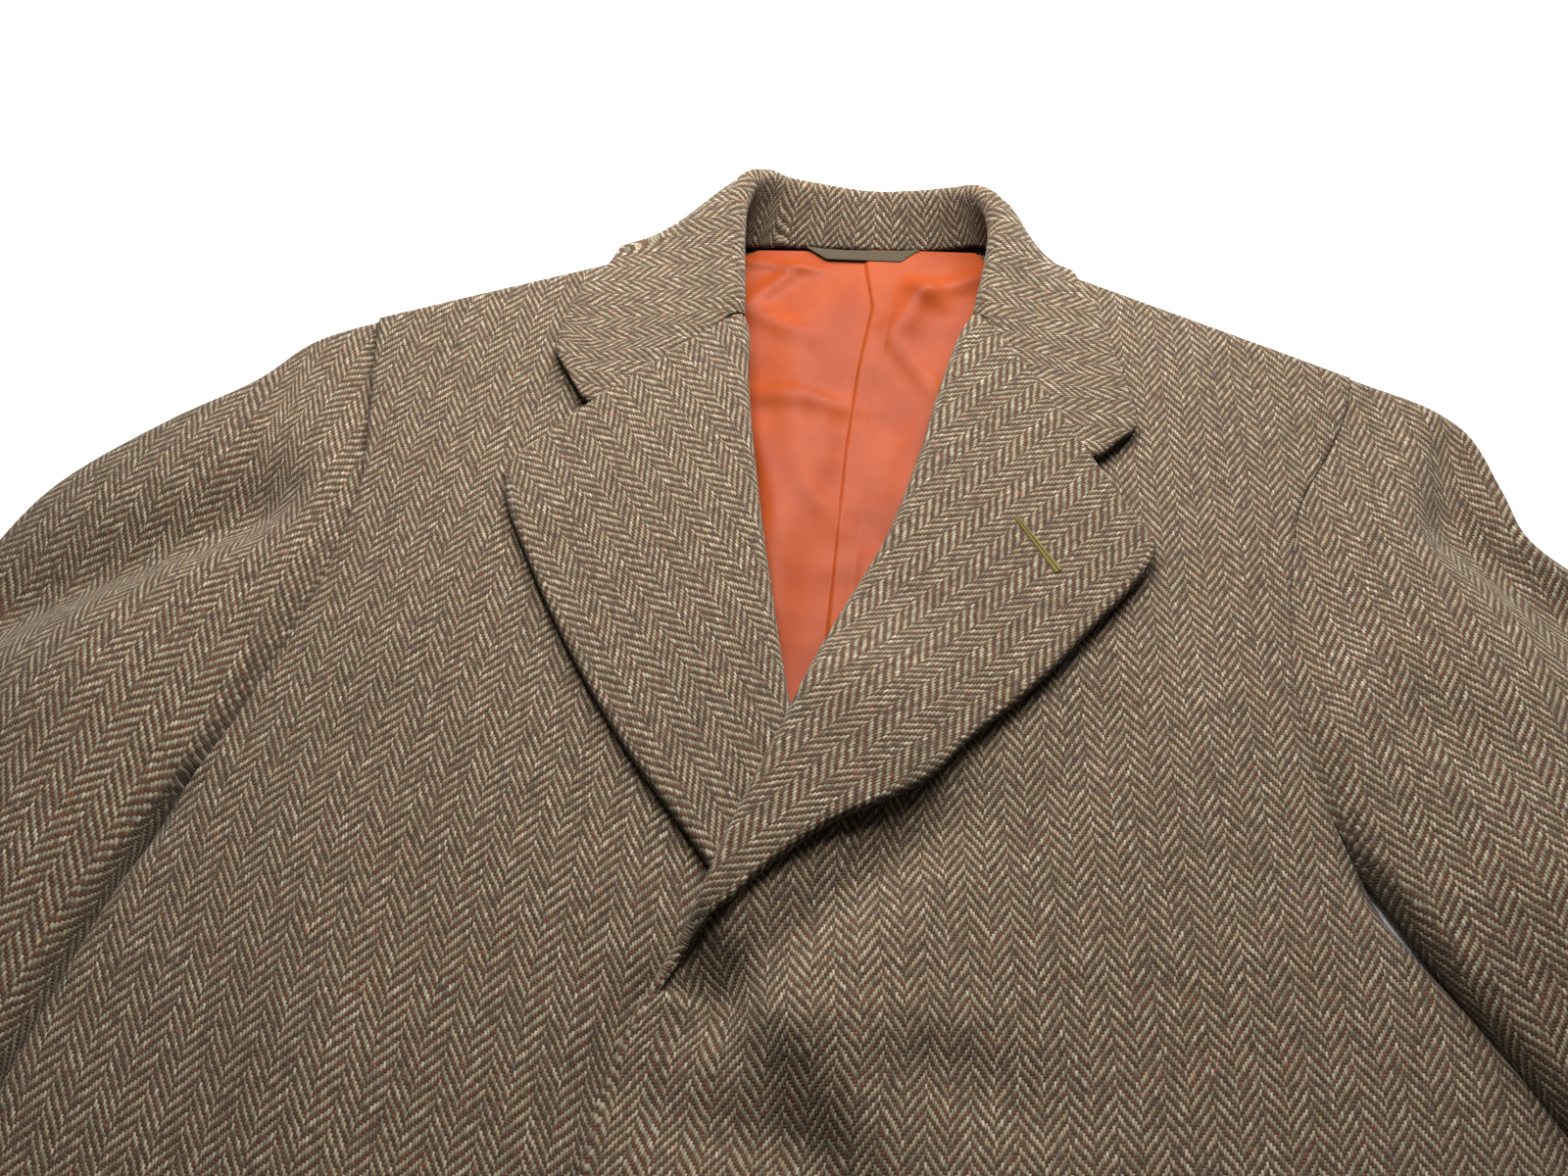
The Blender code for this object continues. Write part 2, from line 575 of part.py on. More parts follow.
def add_grid(mesh, grid):
    """Adds a grid of points, in millimetres, to a bmesh as quads."""
    rows, columns = grid.shape[:2]
    points = [mesh.verts.new(point) for point in (grid.reshape(-1, 3) * MM).tolist()]
    for i in range(rows - 1):
        for j in range(columns - 1):
            corner = i * columns + j
            ring = (corner, corner + 1, corner + columns + 1, corner + columns)
            mesh.faces.new([points[k] for k in ring])


def cloth(name, grids, thickness, finish):
    """One piece of cloth: its grids joined, and given its wall on both sides."""
    colour, roughness = finish
    shape = bmesh.new()
    for grid in grids:
        add_grid(shape, grid)
    bmesh.ops.remove_doubles(shape, verts=shape.verts, dist=0.02 * MM)
    bmesh.ops.recalc_face_normals(shape, faces=shape.faces)
    mesh = bpy.data.meshes.new(name)
    shape.to_mesh(mesh)
    shape.free()
    mesh.shade_smooth()
    material = bpy.data.materials.new(name)
    material.use_nodes = True
    surface = material.node_tree.nodes["Principled BSDF"]
    surface.inputs["Base Color"].default_value = (*colour, 1)
    surface.inputs["Roughness"].default_value = roughness
    mesh.materials.append(material)
    piece = bpy.data.objects.new(name, mesh)
    collection.objects.link(piece)
    wall = piece.modifiers.new("wall", "SOLIDIFY")
    wall.thickness = thickness * MM
    wall.offset = 0
    return piece


def centre_on_box(pieces):
    """Moves every piece by one step, so that the coat's box is centred on the origin."""
    points = np.vstack([[v.co[:] for v in piece.data.vertices] for piece in pieces])
    shift = -(points.min(axis=0) + points.max(axis=0)) / 2
    for piece in pieces:
        piece.location = (shift[0], shift[1], 0)


coat = [
    cloth("back", [back_grid()], CLOTH, TWEED),
    cloth("right_front", [front_grid(-1), lapel_grid(-1)], CLOTH, TWEED),
    cloth("left_front", [front_grid(1), lapel_grid(1)], CLOTH, TWEED),
    cloth("right_facing", [facing_grid(-1)], FACING_CLOTH, TWEED),
    cloth("left_facing", [facing_grid(1)], FACING_CLOTH, TWEED),
    cloth("collar", [collar_grid()], COLLAR_CLOTH, TWEED),
    cloth("back_lining", [lining_grid()], LINING_CLOTH, SATIN),
    cloth("hanger_loop", [loop_grid()], LOOP_CLOTH, LOOP_SATIN),
]
for side, name in ((-1, "right"), (1, "left")):
    top, under = sleeve_grids(side)
    coat.append(cloth(name + "_top_sleeve", [top], CLOTH, TWEED))
    coat.append(cloth(name + "_under_sleeve", [under], CLOTH, TWEED))
centre_on_box(coat)
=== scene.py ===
"""A single-breasted herringbone tweed overcoat, laid flat on its back and seen from the hem.

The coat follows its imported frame: each cloth is a shell on its solid's own form, made in
the order the coat is put together. +X is the wearer's left, +Y runs up to the neck and
+Z is up. Plans and sizes are in millimetres from the nape, the middle of the back neck.
"""

from functools import partial

import bmesh
import bpy
import numpy as np
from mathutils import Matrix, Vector


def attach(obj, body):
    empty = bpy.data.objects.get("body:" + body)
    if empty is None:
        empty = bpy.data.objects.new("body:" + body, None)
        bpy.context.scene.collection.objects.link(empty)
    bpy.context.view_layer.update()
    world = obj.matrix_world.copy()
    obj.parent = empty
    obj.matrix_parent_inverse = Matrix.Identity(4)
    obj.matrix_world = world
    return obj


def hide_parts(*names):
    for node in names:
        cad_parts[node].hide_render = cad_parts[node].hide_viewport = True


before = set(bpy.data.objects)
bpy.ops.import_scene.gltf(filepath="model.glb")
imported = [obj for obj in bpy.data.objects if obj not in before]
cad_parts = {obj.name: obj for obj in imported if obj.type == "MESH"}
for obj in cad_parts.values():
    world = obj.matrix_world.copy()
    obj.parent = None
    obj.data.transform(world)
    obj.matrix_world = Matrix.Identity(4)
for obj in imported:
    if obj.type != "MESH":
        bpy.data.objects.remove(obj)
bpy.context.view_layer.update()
scene = bpy.context.scene
MM = 0.001
NAPE = np.array((-8.00964, 541.24331, 0.0))  # the nape's place in the coat's own frame

# ---- The table, the light and the camera ----
# A white table under two soft lights, a window beyond the neck and a lamp above it, with
# white walls all round. The camera stands over the hem and looks up the coat, 57 degrees down.
TABLE_SIZE, TABLE_DROP = 6.0, 0.0006
CHEST = (0, 0.2, 0)
CAMERA_SPOT = (3.42, -553.29, 530.0)
CAMERA_TURN, CAMERA_DIP = np.radians(5.0), np.radians(57.0)


def plain_material(name, colour, roughness, specular=0.5):
    """A Principled material of one colour; returns it, its tree and its shader node."""
    material = bpy.data.materials.new(name)
    material.use_nodes = True
    surface = material.node_tree.nodes["Principled BSDF"]
    surface.inputs["Base Color"].default_value = (*colour, 1)
    surface.inputs["Roughness"].default_value = roughness
    surface.inputs["Specular IOR Level"].default_value = specular
    return material, material.node_tree, surface


def add_object(name, data):
    """An object of this data, in the scene."""
    item = bpy.data.objects.new(name, data)
    scene.collection.objects.link(item)
    return item


def add_mesh(name, points, faces, material):
    """An object of points, in metres, and faces, in one material."""
    mesh = bpy.data.meshes.new(name)
    mesh.from_pydata(points, [], faces)
    mesh.materials.append(material)
    return add_object(name, mesh)


half = TABLE_SIZE / 2
table = add_mesh(
    "table",
    [(-half, -half, 0), (half, -half, 0), (half, half, 0), (-half, half, 0)],
    [(0, 1, 2, 3)],
    plain_material("white_table", (0.92, 0.925, 0.93), 0.6)[0],
)
table.location.z = -TABLE_DROP

room = bpy.data.worlds.new("white_room")
room.use_nodes = True
walls = room.node_tree.nodes["Background"].inputs
walls["Color"].default_value, walls["Strength"].default_value = (1.0, 0.985, 0.965, 1), 0.13
scene.world = room
scene.view_settings.view_transform = "Standard"


def soft_box(name, place, size, power):
    """A square area light at `place`, in metres, turned to the coat's chest."""
    lamp = add_object(name, bpy.data.lights.new(name, "AREA"))
    lamp.data.size, lamp.data.energy = size, power
    lamp.location = place
    aim = Vector(CHEST) - lamp.location
    lamp.rotation_euler = aim.to_track_quat("-Z", "Y").to_euler()


soft_box("window", (0.32, 1.15, 0.66), 0.55, 22)
soft_box("lamp", (-0.09, 0.66, 0.50), 0.34, 11)

camera = add_object("camera", bpy.data.cameras.new("camera"))
camera.data.lens, camera.data.sensor_width = 31.5, 36.0
camera.data.clip_start = 0.01
camera.location = (np.array(CAMERA_SPOT) + NAPE) * MM
sideways, ahead = np.sin(CAMERA_TURN), np.cos(CAMERA_TURN)
level, down = np.cos(CAMERA_DIP), np.sin(CAMERA_DIP)
aim = Vector((-sideways * level, ahead * level, -down))
camera.rotation_euler = aim.to_track_quat("-Z", "Y").to_euler()
scene.camera = camera

# ---- The back ----
# One width of tweed, cut on the straight grain, that lies face down on the table. Its
# sides meet the fronts at the side seams and its shoulders turn up to their seams.
CLOTH = 2.2
REST = CLOTH / 2
ARMHOLE_SEAM = 0.9
SHOULDER_SEAM, SHOULDER_GAP = 10.5, 0.9  # the seam's height, and the back's edge below it
BACK_NECK_LIFT = 6.2
HEM_BOW = 16.0
UNDERARM_ROW = {-1: 7, 1: 8}
RIGHT_FRONT = [
    # inner_x, inner_y, outer_x, outer_y, from the shoulder to the hem
    (-84, -3, -246, -73), (-88, -30, -241, -105), (-77, -54, -235, -140),
    (-62, -66, -230, -172), (-56, -108, -231, -212), (-48, -155, -236, -248),
    (-38, -205, -249, -298), (-27, -255, -262, -335), (-15, -305, -281, -385),
    (-4, -355, -293, -440), (8, -412, -300, -500), (22, -465, -300, -560),
    (30, -540, -303, -640), (32, -740, -316, -800), (31, -1114, -334, -1098),
]
LEFT_FRONT = [
    (84, -3, 243, -71), (86, -24, 237, -98), (74, -44, 224, -126), (58, -56, 211, -150),
    (44.5, -97, 203, -184), (34.5, -144, 198, -224), (22, -190, 197, -258),
    (3.6, -234, 201, -294), (-13.5, -285, 210, -326), (-34, -343, 234, -366),
    (-45, -377, 257, -395), (-59, -406, 277, -424), (-70, -440, 296, -462),
    (-74, -500, 300, -530), (-76, -720, 309, -740), (-76, -1116, 336, -1098),
]
FRONT = {-1: RIGHT_FRONT, 1: LEFT_FRONT}
BACK_ARMHOLE = {
    -1: [(-246, -73), (-243, -130), (-243, -200), (-250, -275), (-262, -335)],
    1: [(243, -71), (238, -128), (228, -198), (214, -268), (210, -326)],
}
BACK_TOP = [  # shoulders and back neck
    (-246, -73), (-196, -51.4), (-150, -31.5), (-112, -15), (-84, -4.6), (-73, -3.0), (-61, -1.4),
    (-45, 0.6), (-24, 2.0), (0, 2.6), (24, 3.8), (45, 6.2), (60, 6.4), (71, 2.6), (84, -4.8),
    (112, -15), (150, -31.5), (196, -50.5), (243, -71),
]
BACK_FOLDS = [
    # x1, y1, x2, y2, half_width, rise, as in every table of folds; the back's only rise
    (-150, -140, -60, -420, 16, 1.6), (120, -200, 60, -520, 18, 1.4),
    (10, -560, 30, -980, 15, 1.8), (-170, -640, -190, -1020, 14, 1.5),
    (190, -600, 215, -960, 15, 1.3),
]


def hermite(table, at):
    """Smooth curve through a table's rows; `at` counts rows and 0 is the first."""
    points = np.asarray(table, float)
    at = np.clip(np.asarray(at, float), 0, len(points) - 1)
    steps = np.diff(points, axis=0)
    gaps = np.linalg.norm(steps, axis=1, keepdims=True)
    slopes = steps / gaps
    before, after = np.vstack([slopes[:1], slopes]), np.vstack([slopes, slopes[-1:]])
    gap_before, gap_after = np.vstack([gaps[:1], gaps]), np.vstack([gaps, gaps[-1:]])
    tangents = (gap_after * before + gap_before * after) / (gap_after + gap_before)
    row = np.minimum(at.astype(int), len(points) - 2)
    t = (at - row)[:, None]
    leave, arrive = tangents[row] * gaps[row], tangents[row + 1] * gaps[row]
    ends = points[row] * (2 * t**3 - 3 * t**2 + 1) + points[row + 1] * (3 * t**2 - 2 * t**3)
    return ends + leave * (t**3 - 2 * t**2 + t) + arrive * (t**3 - t**2)


def evenly(table, count):
    """`count` points of the same curve, at even steps along it."""
    fine = np.linspace(0, len(table) - 1, 800)
    steps = np.linalg.norm(np.diff(hermite(table, fine), axis=0), axis=1)
    run = np.r_[0, np.cumsum(steps)]
    return hermite(table, np.interp(np.linspace(0, run[-1], count), run, fine))


def ease(low, high, value):
    """Smooth step: 0 at low and beyond, 1 at high and beyond; low may be the larger."""
    t = np.clip((value - low) / (high - low), 0, 1)
    return t * t * (3 - 2 * t)


def unit(vectors):
    """The same directions, each one long."""
    return vectors / np.linalg.norm(vectors, axis=-1, keepdims=True)


def to_left(way):
    """Plan directions, turned by 90 degrees to their left."""
    return np.stack([-way[..., 1], way[..., 0]], axis=-1)


def left_normal(curve):
    """Unit plan normals of a curve, to the left of its direction."""
    return to_left(unit(np.gradient(curve, axis=0)))


def between(first, second, share):
    """The way from the first to the second, at some share of it."""
    return first * (1 - share) + second * share


def folds(table, plan):
    """Sum of soft ridges: each is a bell across its line and fades at both its ends."""
    x, y = plan[..., 0], plan[..., 1]
    rise = 0 * x
    for x1, y1, x2, y2, half_width, height in table:
        run = np.array([x2 - x1, y2 - y1], float)
        length = np.hypot(*run)
        along = ((x - x1) * run[0] + (y - y1) * run[1]) / length**2
        across = ((x - x1) * run[1] - (y - y1) * run[0]) / length
        fade = ease(-0.15, 0.3, along) * ease(1.15, 0.7, along)
        rise += height * fade * np.exp(-((across / half_width) ** 2))
    return rise


def back_height(plan):
    """Height of the middle of the back's cloth: flat, but raised over the collar's fall."""
    return REST + BACK_NECK_LIFT * ease(150, 122, abs(plan[..., 0])) * ease(-120, -30, plan[..., 1])


def read(table, at):
    """Values of a table of places and values, in straight lines between its rows."""
    return np.interp(at, *np.array(sorted(table), float).T)


def bent_edge(radius, bend, count):
    """Run and drop, from the edge inwards, of cloth that turns down by a part of 90 degrees."""
    length = np.linspace(1, 0, count) * radius[:, None] * np.pi / 2
    curve = np.maximum(bend, 1e-3)[:, None] / radius[:, None]
    run, drop = np.sin(curve * length) / curve, (1 - np.cos(curve * length)) / curve
    return run[:, :1] - run, drop


RIDGE = 5  # rows over the shoulder, in place of a grid's first two


def over_the_shoulder(plan, height, folded, radius, bend):
    """A grid of a plan and its heights, its first rows bent at the shoulder: down by the
    radius, or up where that is negative."""
    reach, drop = bent_edge(abs(radius), bend, RIDGE)
    ridge = plan[0] + unit(plan[1] - plan[0]) * reach.T[..., None]
    z = [height(ridge) - np.sign(radius) * drop.T, folded[2:]]
    return np.dstack([np.concatenate([ridge, plan[2:]]), np.concatenate(z)])


def running_sum(steps):
    """Sums of the steps along each row, from 0."""
    return np.concatenate([0 * steps[:, :1], np.cumsum(steps, axis=1)], axis=1)


def pressed_flat(grid, column, way):
    """Plan of a grid with its rows pressed flat, from one column outwards: a step keeps its
    share along the columns, and its share across them, which runs along `way`, is as long
    as the cloth is there, up, down or back under itself."""
    down = unit(np.gradient(grid[..., :2], axis=0).mean(axis=1))
    across = to_left(down)
    across = across * np.sign((across * way).sum(axis=1, keepdims=True))
    step = np.diff(grid, axis=1)
    along_part = np.einsum("ijk,ik->ij", step[..., :2], down)
    across_part = np.hypot(np.einsum("ijk,ik->ij", step[..., :2], across), step[..., 2])
    step = along_part[..., None] * down[:, None] + across_part[..., None] * across[:, None]
    run = running_sum(step)
    return grid[:, column : column + 1, :2] + run - run[:, column : column + 1]


def on_the_grain(plan, degrees, skew=0.0, drift=((-2000, 0), (2000, 0))):
    """Place on the flat cloth, across and along the warp. The plan is turned so that the
    warp, which leans by `degrees` towards +X as it goes down, runs along v. The weft drops
    by `skew` for each unit across; `drift` is how far the warp has wandered at each v."""
    lean = np.radians(degrees)
    u = plan[..., 0] * np.cos(lean) + plan[..., 1] * np.sin(lean)
    v = plan[..., 1] * np.cos(lean) - plan[..., 0] * np.sin(lean)
    return np.stack([u - read(drift, v), v + skew * u], axis=-1)


def add_node(tree, kind, output, inputs, **settings):
    """A shader node with its settings, and its inputs by name or number, each a socket or a
    constant; returns one of its outputs."""
    node = tree.nodes.new("ShaderNode" + kind)
    for setting, value in settings.items():
        setattr(node, setting, value)
    for key, value in inputs.items():
        if isinstance(value, bpy.types.NodeSocket):
            tree.links.new(value, node.inputs[key])
        else:
            node.inputs[key].default_value = value
    return node.outputs[output]


def math_node(tree, operation, *values):
    """One calculation on sockets or numbers."""
    return add_node(tree, "Math", 0, dict(enumerate(values)), operation=operation)


def vector_node(tree, x, y, z=0.0):
    """A vector from three sockets or numbers."""
    return add_node(tree, "CombineXYZ", 0, {0: x, 1: y, 2: z})


def noise_node(tree, vector, scale, detail=2.0, output="Fac"):
    """Noise of about 0 to 1 at `scale` waves a unit of the vector."""
    return add_node(tree, "TexNoise", output, {"Scale": scale, "Detail": detail, "Vector": vector})


def stretched_noise(tree, x, x_waves, y, y_waves, seed=0.0):
    """Noise with its own number of waves a unit in each of two directions."""
    x, y = math_node(tree, "MULTIPLY", x, x_waves), math_node(tree, "MULTIPLY", y, y_waves)
    return noise_node(tree, vector_node(tree, x, y, seed), 1.0)


def mix_node(tree, share, first, second, blend="MIX"):
    """A colour mix; the share and both colours are sockets or constants."""
    first, second = ((*one, 1) if isinstance(one, tuple) else one for one in (first, second))
    inputs = {0: share, 6: first, 7: second}
    return add_node(tree, "Mix", 2, inputs, data_type="RGBA", blend_type=blend)


def ramp_node(tree, value, low, high):
    """0 at low and below, 1 at high and above, smooth between."""
    inputs = {"From Min": low, "From Max": high, "Value": value}
    return add_node(tree, "MapRange", "Result", inputs, interpolation_type="SMOOTHSTEP")


def cover(tree, surface, colour, height, strength, depth):
    """Gives a shader its colour, and its relief as a bump, `depth` millimetres deep."""
    tree.links.new(colour, surface.inputs["Base Color"])
    inputs = {"Strength": strength, "Distance": depth * MM, "Height": height}
    tree.links.new(add_node(tree, "Bump", "Normal", inputs), surface.inputs["Normal"])


END = 0.975  # width of one warp yarn
PICK = 1.24  # height of one weft yarn
ENDS = 9  # warp yarns in one column of the herringbone
STRAY_WAVES, STRAY = 0.22, 1.5  # how finely and how far the yarns stray from their lines
CREAM, SAGE, ROSE = (0.170, 0.140, 0.090), (0.132, 0.124, 0.080), (0.172, 0.112, 0.074)
BONE, ASH = (0.212, 0.187, 0.138), (0.088, 0.076, 0.056)
BROWN, PLUM = (0.042, 0.019, 0.008), (0.046, 0.018, 0.011)
RUST, OCHRE, NAVY = (0.095, 0.026, 0.014), (0.155, 0.112, 0.042), (0.025, 0.021, 0.025)
NAP, NAP_SHARE, HAIR_WAVES = (0.100, 0.070, 0.044), 0.13, 3.2


def herringbone_group():
    """Two-and-two twill that turns back at every ninth warp yarn. A yarn shows where
    (pick - turn * end + shift) mod 4 is below 2, and its height is rounded both along its
    float and across its width."""
    tree = bpy.data.node_groups.new("herringbone", "ShaderNodeTree")
    for name, kind in (("Place", "Vector"), ("Colour", "Color"), ("Height", "Float")):
        way = "INPUT" if name == "Place" else "OUTPUT"
        tree.interface.new_socket(name, in_out=way, socket_type="NodeSocket" + kind)
    entry, result = tree.nodes.new("NodeGroupInput"), tree.nodes.new("NodeGroupOutput")
    calc, vector, noise, stretched, mix, ramp = (
        partial(kind, tree)
        for kind in (math_node, vector_node, noise_node, stretched_noise, mix_node, ramp_node)
    )

    # Places wander a little, as woollen yarn does.
    place = entry.outputs["Place"]
    stray = {0: noise(place, STRAY_WAVES, 3.0, "Color"), 1: (STRAY, STRAY, 0), 2: place}
    stray = add_node(tree, "VectorMath", 0, stray, operation="MULTIPLY_ADD")
    split = add_node(tree, "SeparateXYZ", 0, {0: stray}).node.outputs
    across, along = calc("DIVIDE", split["X"], END), calc("DIVIDE", split["Y"], PICK)

    end, pick = calc("FLOOR", across), calc("FLOOR", along)
    end_part, pick_part = calc("FRACT", across), calc("FRACT", along)
    column = calc("FLOOR", calc("DIVIDE", end, ENDS))
    odd = calc("FLOORED_MODULO", column, 2.0)
    turn = calc("MULTIPLY_ADD", odd, -2.0, 1.0)
    in_column = calc("MULTIPLY_ADD", column, -float(ENDS), end)
    step = calc("SUBTRACT", pick, calc("MULTIPLY", turn, in_column))
    base = calc("MULTIPLY_ADD", odd, 2.0, step)
    phase = calc("FLOORED_MODULO", base, 4.0)
    warp_up = calc("LESS_THAN", phase, 1.5)

    def hump(value):
        """1 in the middle of -1..1 and 0 at its ends: one less the square."""
        return calc("SUBTRACT", 1.0, calc("MULTIPLY", value, value))

    def yarn_height(lengthwise, part):
        """A hump along the float times a flatter one across the yarn's width."""
        sideways = hump(calc("MULTIPLY_ADD", part, 2.0, -1.0))
        return calc("MULTIPLY", hump(lengthwise), calc("MULTIPLY_ADD", sideways, 0.75, 0.25))

    warp_height = yarn_height(calc("SUBTRACT", calc("ADD", phase, pick_part), 1.0), end_part)
    lead = calc("MULTIPLY_ADD", turn, 0.5, 0.5)
    weft_at = calc("ADD", calc("SUBTRACT", phase, calc("MULTIPLY", turn, end_part)), lead)
    weft_height = yarn_height(calc("SUBTRACT", weft_at, 3.0), pick_part)
    height = add_node(tree, "Mix", 0, {0: warp_up, 2: weft_height, 3: warp_height})

    # Each yarn has its own shade, and changes along its length and from float to float.
    warp_noise = stretched(end, 7.31, along, 0.13)
    warp_fleck = stretched(end, 3.7, along, 0.33, 9.0)
    weft_noise = stretched(across, 0.16, pick, 9.17, 5.0)
    weft_fleck = stretched(across, 0.42, pick, 5.3, 13.0)
    float_number = calc("FLOOR", calc("DIVIDE", base, 4.0))
    warp_float, weft_float = (
        add_node(tree, "TexWhiteNoise", 0, {0: vector(yarn, float_number, seed)}).node.outputs
        for yarn, seed in ((end, 0.0), (pick, 7.0))
    )
    light = mix(ramp(warp_noise, 0.38, 0.62), CREAM, SAGE)
    light = mix(ramp(warp_fleck, 0.56, 0.66), light, ROSE)
    light = mix(calc("MULTIPLY", ramp(warp_fleck, 0.40, 0.30), 0.7), light, OCHRE)
    light = mix(ramp(warp_float["Value"], 0.80, 0.90), light, BONE)
    light = mix(ramp(warp_float["Value"], 0.22, 0.16), light, ASH)
    dark = mix(ramp(weft_noise, 0.40, 0.60), BROWN, PLUM)
    dark = mix(ramp(weft_fleck, 0.60, 0.70), dark, RUST)
    dark = mix(ramp(weft_fleck, 0.36, 0.28), dark, NAVY)
    cloth_colour = mix(warp_up, dark, light)
    each = mix(warp_up, weft_float["Color"], warp_float["Color"])
    uneven = add_node(tree, "SeparateColor", "Green", {0: each})
    uneven = calc("MULTIPLY_ADD", uneven, 0.6, 0.70)

    # The nap: fine hairs that lift and blur the colours. The colour is also darkened where the
    # yarns lie low, painted shade between the yarns, and varied at random by the hairs and from
    # float to float.
    hairs = noise(place, HAIR_WAVES, 3.0)
    blend = mix(NAP_SHARE, cloth_colour, NAP)
    # painted shade: darker where the yarn's height is low, in the gaps between yarns
    shade = calc("MULTIPLY_ADD", height, 0.46, 0.60)
    shade = calc("MULTIPLY", shade, calc("MULTIPLY_ADD", hairs, 1.2, 0.40))
    shade = calc("MULTIPLY", shade, uneven)
    shaded = mix(1.0, blend, vector(shade, shade, shade), "MULTIPLY")
    tree.links.new(shaded, result.inputs["Colour"])
    tree.links.new(calc("MULTIPLY_ADD", hairs, 0.5, height), result.inputs["Height"])
    return tree


def tweed_material():
    """Matt woollen tweed with a soft nap, its weave on the piece's own cloth map."""
    material, tree, surface = plain_material("herringbone_tweed", BROWN, 0.92, 0.08)
    surface.inputs["Sheen Weight"].default_value = 0.08
    surface.inputs["Sheen Roughness"].default_value = 0.55
    surface.inputs["Sheen Tint"].default_value = (0.95, 0.84, 0.72, 1)
    place = add_node(tree, "UVMap", "UV", {}, uv_map="cloth")
    group = herringbone_group()
    weave = add_node(tree, "Group", 0, {"Place": place}, node_tree=group).node.outputs
    cover(tree, surface, weave["Colour"], weave["Height"], 0.7, 0.35)
    return material


TWEED = tweed_material()
DOUBLED, EDGE_CREASE = 0.02, 0.6  # points closer than this are one; sharpness of cut edges


def close_up(mesh):
    """Joins the points that meet, turns all faces outwards and shades them smooth."""
    shape = bmesh.new()
    shape.from_mesh(mesh)
    bmesh.ops.remove_doubles(shape, verts=shape.verts, dist=DOUBLED * MM)
    bmesh.ops.recalc_face_normals(shape, faces=shape.faces)
    shape.to_mesh(mesh)
    shape.free()
    mesh.shade_smooth()


def sew(name, node, grids, maps, wall=CLOTH, material=TWEED):
    """One piece of cloth. Its grids of points are joined where they meet, each with its map
    of the flat cloth; then it gets its wall on both sides and its soft edges."""
    points, faces, places = [], [], []
    first = 0
    for grid, cloth_map in zip(grids, maps):
        rows, columns = grid.shape[:2]
        corner = (np.arange(rows - 1)[:, None] * columns + np.arange(columns - 1)).ravel()
        quads = corner[:, None] + np.array([0, 1, columns + 1, columns])
        points.append(grid.reshape(-1, 3))
        faces.append(quads + first)
        places.append(cloth_map.reshape(-1, 2)[quads.ravel()])
        first += rows * columns
    points = ((np.vstack(points) + NAPE) * MM).tolist()
    piece = add_mesh(name, points, np.vstack(faces).tolist(), material)
    layer = piece.data.uv_layers.new(name="cloth")
    layer.data.foreach_set("uv", np.vstack(places).astype(np.float32).ravel())
    close_up(piece.data)
    shell = piece.modifiers.new("wall", "SOLIDIFY")
    shell.thickness, shell.offset = wall * MM, 0
    shell.edge_crease_inner = shell.edge_crease_outer = EDGE_CREASE
    soft = piece.modifiers.new("soft_edges", "SUBSURF")
    soft.levels = soft.render_levels = 1
    soft.uv_smooth = "NONE"
    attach(piece, "root")
    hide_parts(node)
    return piece


def back_grid(rows_down, columns):
    """The back: armholes and side seams just inside the fronts', shoulders turned up. Each
    row runs straight across between them, bowed at the top to the shoulders and neck."""
    sides = {}
    armhole_rows = int(rows_down * 0.28)
    for side in (-1, 1):
        armhole = evenly(BACK_ARMHOLE[side], armhole_rows)
        table = [row[2:] for row in FRONT[side]]
        below = np.linspace(UNDERARM_ROW[side], len(table) - 1, rows_down - armhole_rows)
        seam = hermite(table, below)
        seam = seam - left_normal(seam) * side * (CLOTH / 2 + ARMHOLE_SEAM)
        sides[side] = np.vstack([armhole[:-1], seam])
    right, left = sides[-1], sides[1]
    top = hermite(BACK_TOP, np.linspace(0, len(BACK_TOP) - 1, columns))
    share = ((top[:, 0] - top[0, 0]) / (top[-1, 0] - top[0, 0]))[None, :, None]
    plan = between(right[:, None], left[:, None], share)
    bow = top[:, 1] - plan[0, :, 1]
    rows = np.linspace(0, 1, len(right))
    plan[..., 1] += bow * (np.clip(1 - rows / 0.5, 0, 1) ** 2)[:, None]
    plan[..., 1] -= HEM_BOW * (4 * share[..., 0] * (1 - share[..., 0])) * (rows[:, None] ** 8)
    z = back_height(plan) + folds(BACK_FOLDS, plan)
    radius = np.maximum(SHOULDER_SEAM - SHOULDER_GAP - z[0], 1.0)
    bend = ease(84, 100, abs(plan[0, :, 0]))
    return over_the_shoulder(plan, back_height, z, -radius, bend)


back_shape = back_grid(110, 64)
back = sew("back_panel", "back", [back_shape], [on_the_grain(back_shape[..., :2], 0)])

# ---- The back lining ----
# Terracotta satin, sewn to the neck seam and pleated down the middle so that the coat
# can stretch. It lies on the back, soft and creased, and shows in the neck opening.
SATIN_DARK, SATIN_LIGHT = (0.140, 0.0225, 0.0048), (0.176, 0.031, 0.0068)
LINING_CLOTH, LINING_LIFT = 1.0, 0.8
LINING_ROWS = [
    # right_x, right_y, left_x, left_y
    (-59, -2.6, 58, 5), (-82, -22, 79, -18), (-118, -60, 110, -60), (-124, -150, 116, -150),
    (-122, -345, 112, -345),
]
LINING_FOLDS = [
    (-34, -52, -22, -215, 15, 5.4), (-72, -12, -20, -16, 4, 2), (-70, -54, -34, -12, 5, 2.6),
    (-62, -44, -24, -66, 7, 2.7), (-60, -100, 6, -106, 6, 2.4), (-52, -108, -24, -210, 6, 2.6),
    (-26, -150, 2, -186, 5, 2.2), (-46, -170, -22, -246, 8, 3), (-14, -100, -12, -150, 6, 1.5),
    (-14, -164, 24, -166, 4, 1.5), (-14, -200, 22, -198, 4, 1.5), (44, -40, 22, -20, 6, 2.4),
    (72, -8, 26, -34, 6, 3), (34, -18, 16, -62, 8, 3), (12, -56, 48, -104, 6, 2.8),
    (36, -96, 20, -215, 9, 2.7), (12, -190, 4, -250, 7, 2.1),
]
